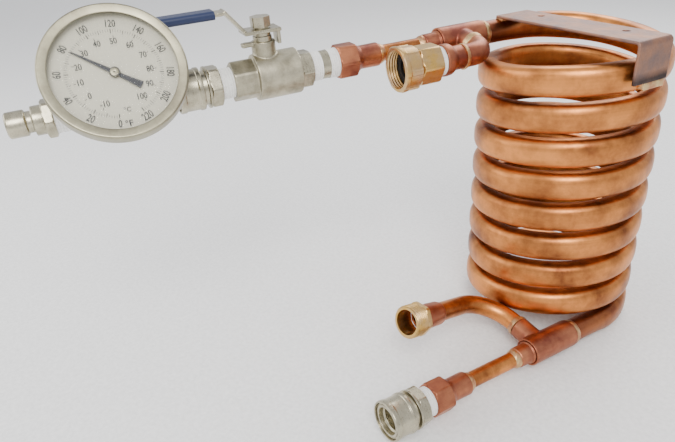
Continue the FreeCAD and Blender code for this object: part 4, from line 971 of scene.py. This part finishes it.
class CHILLER_OT_water(bpy.types.Operator):
    """Hose fittings: swivel nut and tailpiece on the outlet, threaded end and cup on the inlet"""

    bl_idname = "chiller.water"
    bl_label = "Hose fittings"

    def execute(self, context):
        pitch = context.scene.chiller_sizes.hose_pitch / MM
        pipe_pitch = context.scene.chiller_sizes.pipe_pitch / MM
        cup = [
            row(22.0, 6.9),
            row(22.0, 9.1),
            row(30.6, 9.2),
            row(35.0, 12.0),
            row(39.0, 12.3),
            row(41.0, 12.2),
            row(41.0, FEMALE_BORE),
            row(37.0, FEMALE_BORE),
            row(37.0, 6.9),
        ]
        piece = turned("outlet_cup", "outlet", cup, 0.6, wobble=0.05, seed=2.0)
        finish(piece, MATERIALS["fitting"], "chiller", "fitting_copper", "outlet_adapter")
        wrap = tape_profile(41.0, 45.4)
        piece = turned("outlet_wrap", "outlet", wrap, 0.0, pipe_pitch, 0.1, 4.0)
        finish(piece, MATERIALS["tape"], "chiller", "ptfe", "outlet_tape")
        flat = flat_of(15.7)
        tail = [
            row(37.5, 8.0),
            row(37.5, 10.6),
            row(45.4, 10.6),
            row(45.4, 12.4, flat),
            row(46.6, 15.2, flat),
            row(62.7, 15.2, flat),
            row(64.1, 13.2, flat),
            row(64.1, 11.4),
            row(67.7, 11.4),
            row(67.7, 12.9),
            row(69.4, 12.9),
            row(69.4, 8.0),
        ]
        piece = turned("brass_tailpiece", "outlet", tail, 0.4)
        finish(piece, MATERIALS["brass"], "chiller", "brass_fitting", "hose_tailpiece")
        nut = [
            row(64.5, 11.8),
            row(64.5, 14.4),
            row(65.9, 15.9, 0, 0, 0.9),
            row(75.4, 16.1, 0, 0, 0.9),
            row(76.2, 16.8, 0, 0, 0.6),
            row(79.2, 16.9, 0, 0, 0.6),
            row(80.0, 16.3, 0, 0, 0.3),
            row(80.0, 14.2),
            *thread(79.4, 72.2, 13.7, -0.65),
            row(71.8, 13.9),
            row(67.4, 13.9),
            row(67.4, 11.8),
        ]
        piece = turned("swivel_nut", "outlet", nut, 0.12, pitch)
        finish(piece, MATERIALS["nut"], "hose_nut", "brass_fitting", "hose_swivel_nut")
        cup = [
            row(-10.0, 8.0),
            row(-10.0, 8.9),
            row(-7.5, 9.9),
            row(4.0, 10.1),
            row(12.0, 10.4),
            row(12.0, 8.0),
        ]
        piece = turned("inlet_socket", "inlet", cup, 0.8, wobble=0.16, seed=6.0)
        finish(piece, MATERIALS["fitting"], "chiller", "fitting_copper", "inlet_cup")
        flat = flat_of(14.4)
        male = [
            row(12.0, 10.3),
            row(12.0, 12.0, flat),
            row(13.0, 13.9, flat),
            row(16.6, 13.9, flat),
            row(17.5, 12.2, flat),
            row(17.5, 12.3),
            *thread(18.0, 28.2, 13.4, 1.05),
            row(29.0, 11.9),
            row(29.0, 10.3),
        ]
        piece = turned("inlet_hose_thread", "inlet", male, 0.1, pitch)
        finish(piece, MATERIALS["brass"], "chiller", "brass_fitting", "male_hose_fitting")
        return {"FINISHED"}


# ---------------------------------------------------------------- dial


# Station of the printed face, and the radii of the two scales' ticks and figures.
DIAL_FACE = 50.41
OUTER_TICKS_END = 29.2
OUTER_FIGURES = 32.9
INNER_TICKS = (23.6, 25.2)
INNER_FIGURES = 21.2


def dial_angle(fahrenheit):
    """Angle of a temperature on the dial, from the side nearest the valve, in degrees."""
    return 261.0 - 1.5 * fahrenheit


def celsius_angle(celsius):
    """The same for a temperature in degrees Celsius."""
    return dial_angle(celsius * 1.8 + 32)


def bars(name, angles_deg, inner, outer, width, base, thick=0.06):
    """Radial strokes on the dial: each a thin box from radius inner to outer, at its own angle."""
    angle = np.radians(np.asarray(angles_deg, float))
    along = np.stack([np.cos(angle), np.sin(angle), np.zeros_like(angle)], axis=-1)
    side = np.stack([-np.sin(angle), np.cos(angle), np.zeros_like(angle)], axis=-1)
    corner = np.array([(inner, -1), (outer, -1), (outer, 1), (inner, 1)] * 2)
    height = np.array([0, 0, 0, 0, 1, 1, 1, 1]) * thick + base
    points = (
        along[:, None, :] * corner[None, :, :1]
        + side[:, None, :] * corner[None, :, 1:] * width / 2
        + np.array([0.0, 0.0, 1.0]) * height[None, :, None]
    )
    ends = [[3, 2, 1, 0], [4, 5, 6, 7]]
    sides = [[0, 1, 5, 4], [1, 2, 6, 5], [2, 3, 7, 6], [3, 0, 4, 7]]
    box = np.array(ends + sides)
    faces = (box[None] + 8 * np.arange(len(angle))[:, None, None]).reshape(-1, 4)
    return new_mesh(name, placed(points.reshape(-1, 3), FRAMES["dial"]), faces)


def figure(words, size, angle_deg, radius, base, narrow=1.0, radial=False):
    """A figure printed on the dial, centred at an angle and a radius.

    Upright, or radial: then its top points outwards, or inwards on the lowest part of the dial.
    """
    curve = bpy.data.curves.new("figure", "FONT")
    curve.body = words
    curve.size = size
    curve.align_x = "CENTER"
    curve.align_y = "CENTER"
    curve.extrude = 0.03
    curve.offset = size * 0.022
    curve.resolution_u = 3
    obj = bpy.data.objects.new("figure", curve)
    bpy.context.scene.collection.objects.link(obj)
    bpy.context.view_layer.update()
    depsgraph = bpy.context.evaluated_depsgraph_get()
    mesh = bpy.data.meshes.new_from_object(obj.evaluated_get(depsgraph))
    bpy.data.objects.remove(obj)
    points = np.empty(len(mesh.vertices) * 3)
    mesh.vertices.foreach_get("co", points)
    points = points.reshape(-1, 3)
    angle = math.radians(angle_deg)
    points[:, 0] *= narrow
    if radial:
        turn = angle - math.pi / 2 if math.sin(angle) >= -0.25 else angle + math.pi / 2
        spin = np.array([[math.cos(turn), math.sin(turn)], [-math.sin(turn), math.cos(turn)]])
        points[:, :2] = points[:, :2] @ spin
    points[:, 0] += radius * math.cos(angle)
    points[:, 1] += radius * math.sin(angle)
    points[:, 2] += base + 0.03
    made = new_mesh(
        "figure",
        placed(points, FRAMES["dial"]),
        [list(polygon.vertices) for polygon in mesh.polygons],
    )
    bpy.data.meshes.remove(mesh)
    return made


class CHILLER_OT_dial(bpy.types.Operator):
    """Dial print, bezel, boss and needle hub of the thermometer"""

    bl_idname = "chiller.dial"
    bl_label = "Dial thermometer"

    def execute(self, context):
        head = "thermometer_head"
        outer = range(0, 221, 20)
        inner = range(-10, 101, 10)
        fine = [dial_angle(t) for t in range(0, 221, 2)]
        middle = [dial_angle(t) for t in range(0, 221, 10)]
        bold = [dial_angle(t) for t in outer]
        inner_bold = [celsius_angle(t) for t in inner]
        print_parts = [
            bars("ticks", fine, 27.4, OUTER_TICKS_END, 0.22, DIAL_FACE),
            bars("ticks", middle, 26.5, OUTER_TICKS_END, 0.35, DIAL_FACE),
            bars("ticks", bold, 26.5, OUTER_TICKS_END, 0.6, DIAL_FACE),
            bars("ticks", inner_bold, *INNER_TICKS, 0.4, DIAL_FACE),
        ]
        for t in outer:
            at = dial_angle(t)
            print_parts.append(figure(str(t), 6.8, at, OUTER_FIGURES, DIAL_FACE, 0.68, True))
        for t in inner:
            at = celsius_angle(t)
            print_parts.append(figure(str(t), 5.6, at, INNER_FIGURES, DIAL_FACE, 0.8))
        print_parts.append(figure("°F", 5.6, 270.0, 33.3, DIAL_FACE))
        print_parts.append(figure("°C", 4.2, 273.0, 24.5, DIAL_FACE))
        finish(joined("dial_print", print_parts), MATERIALS["ink"], head, "dial_white")
        bezel = [
            row(47.6, 41.45),
            row(47.6, 43.6),
            row(48.0, 44.0),
            row(56.0, 44.0),
            row(56.6, 43.5),
            row(56.8, 42.9),
            row(56.2, 38.2),
            row(55.8, 37.7),
            row(55.8, 41.45),
        ]
        piece = turned("spun_bezel", "dial", bezel, 0.25)
        finish(piece, MATERIALS["bezel"], head, "bezel_steel", "bezel")
        boss = hexagon(30.5, 39.0, 12.8, 3.3)
        neck = [row(39.0, 3.3), row(39.0, 9.0), row(43.0, 9.0), row(43.0, 3.3)]
        parts = [turned("hub", "dial", boss), turned("hub", "dial", neck)]
        piece = joined("dial_boss", parts)
        finish(piece, MATERIALS["steel"], head, "stainless", "thermometer_stem")
        hub = [row(52.1, 0.4), row(52.1, 3.4), row(53.0, 3.2), row(53.4, 2.2), row(53.5, 0.4)]
        piece = turned("needle_hub", "dial", hub, 0.2)
        finish(piece, MATERIALS["bezel"], "needle", "pointer_grey")
        return {"FINISHED"}


# ---------------------------------------------------------------- CAD nodes that show as they are


class CHILLER_OT_finishes(bpy.types.Operator):
    """Finishes of the CAD parts that are already the right shape"""

    bl_idname = "chiller.finishes"
    bl_label = "Finishes"

    looks = {
        "tube": ("inner_tube", "top_wort_tube", "bottom_wort_tube", "inlet_pipe"),
        "fitting": ("outlet_elbow",),
        "steel": (
            "upper_nipple",
            "valve_nipple",
            "stem_gland",
            "valve_stem",
            "lever_nut",
            "lever_washer",
            "upper_snap_ring",
            "upper_lock_balls",
            "valve_ball",
        ),
        "steel_low": ("lower_nipple", "lower_snap_ring", "lower_lock_balls"),
        "bezel": ("dial_case",),
        "tape": ("ball_seats",),
        "rubber": ("upper_oring", "lower_oring", "hose_washer"),
        "dial": ("dial_plate",),
        "needle": ("pointer",),
        "glass": ("dial_glass",),
    }

    def execute(self, context):
        for look, nodes in self.looks.items():
            for name in nodes:
                obj = frame["nodes"][name]
                obj.data.materials.clear()
                obj.data.materials.append(MATERIALS[look])
        return {"FINISHED"}


# ---------------------------------------------------------------- stage

# How far the floor lies under the lowest point of the CAD, in metres.
FLOOR_DROP = 0.0022
LIGHT_TARGET = (-0.03, -0.12, -0.12)
# name, place, size in metres, watts, colour
LIGHTS = (
    ("key", (0.9, -0.7, 0.95), 0.7, 20.0, (1.0, 0.98, 0.95)),
    ("fill", (-0.7, -1.2, 0.5), 1.0, 10.0, (1.0, 1.0, 1.0)),
    ("back", (-0.6, 0.9, 0.8), 0.8, 10.0, (1.0, 1.0, 1.0)),
)
CAMERA_PLACE = (0.327646, -0.401728, 0.100787)
CAMERA_AZIMUTH_ELEVATION_ROLL = (61.216, 28.406, -3.391)
CAMERA_LENS_MM = 32.91
CAMERA_SENSOR_MM = 36.0


def area_light(name, place, size, watts, tint):
    """A square soft box aimed at the object."""
    data = bpy.data.lights.new(name, "AREA")
    data.size = size
    data.energy = watts
    data.color = tint
    obj = bpy.data.objects.new(name, data)
    bpy.context.scene.collection.objects.link(obj)
    obj.location = place
    aim = Vector(LIGHT_TARGET) - Vector(place)
    obj.rotation_euler = aim.to_track_quat("-Z", "Y").to_euler()


class CHILLER_OT_stage(bpy.types.Operator):
    """Pale floor, soft boxes and the camera"""

    bl_idname = "chiller.stage"
    bl_label = "Stage"

    def execute(self, context):
        floor_height = cad_box[0][2] - FLOOR_DROP
        side = np.linspace(-3, 3, 4)
        x, y = np.meshgrid(side, side, indexing="ij")
        points = np.stack([x, y, np.full_like(x, floor_height)], axis=-1).reshape(-1, 3)
        floor = new_mesh("floor", points, grid_faces(4, 4, False, False)[:, ::-1])
        white = tuple(context.scene.chiller_colours.floor)
        floor.data.materials.append(plain("matt_card", white, 0.8, 300.0, 0.01))
        world = bpy.data.worlds.new("soft_room")
        world.use_nodes = True
        background = world.node_tree.nodes["Background"]
        background.inputs[0].default_value = (0.95, 0.96, 1.0, 1.0)
        background.inputs[1].default_value = 1.0
        context.scene.world = world
        for light in LIGHTS:
            area_light(*light)
        self.add_camera(context)
        return {"FINISHED"}

    def add_camera(self, context):
        """A camera from its azimuth, elevation and roll."""
        azimuth, elevation, roll = (math.radians(a) for a in CAMERA_AZIMUTH_ELEVATION_ROLL)
        back = Vector(
            (
                math.sin(azimuth) * math.cos(elevation),
                -math.cos(azimuth) * math.cos(elevation),
                math.sin(elevation),
            )
        )
        right = Vector((math.cos(azimuth), math.sin(azimuth), 0))
        up = back.cross(right)
        turned_right = right * math.cos(roll) + up * math.sin(roll)
        turned_up = up * math.cos(roll) - right * math.sin(roll)
        data = bpy.data.cameras.new("camera")
        data.lens = CAMERA_LENS_MM
        data.sensor_width = CAMERA_SENSOR_MM
        data.clip_start = 0.01
        obj = bpy.data.objects.new("camera", data)
        context.scene.collection.objects.link(obj)
        turn = Matrix((turned_right, turned_up, back)).transposed().to_4x4()
        obj.matrix_world = Matrix.Translation(CAMERA_PLACE) @ turn
        context.scene.camera = obj


class CHILLER_OT_materials(bpy.types.Operator):
    """Every finish, made afresh from the panel's colours"""

    bl_idname = "chiller.materials"
    bl_label = "Materials"

    def execute(self, context):
        make_materials()
        return {"FINISHED"}


OPERATORS = (
    CHILLER_OT_materials,
    CHILLER_OT_coil,
    CHILLER_OT_braze,
    CHILLER_OT_castings,
    CHILLER_OT_fittings,
    CHILLER_OT_water,
    CHILLER_OT_dial,
    CHILLER_OT_finishes,
    CHILLER_OT_stage,
)


class CHILLER_PT_panel(bpy.types.Panel):
    """Lists the pieces, sizes and colours in the sidebar"""

    bl_label = "Wort chiller"
    bl_space_type = "VIEW_3D"
    bl_region_type = "UI"
    bl_category = "Chiller"

    def draw(self, context):
        layout = self.layout
        for operator in OPERATORS:
            layout.operator(operator.bl_idname)
        for group in (context.scene.chiller_sizes, context.scene.chiller_colours):
            for name in group.__annotations__:
                layout.prop(group, name)


CLASSES = (ChillerColours, ChillerSizes, *OPERATORS, CHILLER_PT_panel)


def register():
    for item in CLASSES:
        bpy.utils.register_class(item)
    bpy.types.Scene.chiller_colours = PointerProperty(type=ChillerColours)
    bpy.types.Scene.chiller_sizes = PointerProperty(type=ChillerSizes)


def unregister():
    del bpy.types.Scene.chiller_sizes
    del bpy.types.Scene.chiller_colours
    for item in reversed(CLASSES):
        bpy.utils.unregister_class(item)


def main():
    """Registers the add-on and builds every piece."""
    register()
    for operator in OPERATORS:
        group, name = operator.bl_idname.split(".")
        getattr(getattr(bpy.ops, group), name)()


if __name__ == "__main__":
    main()
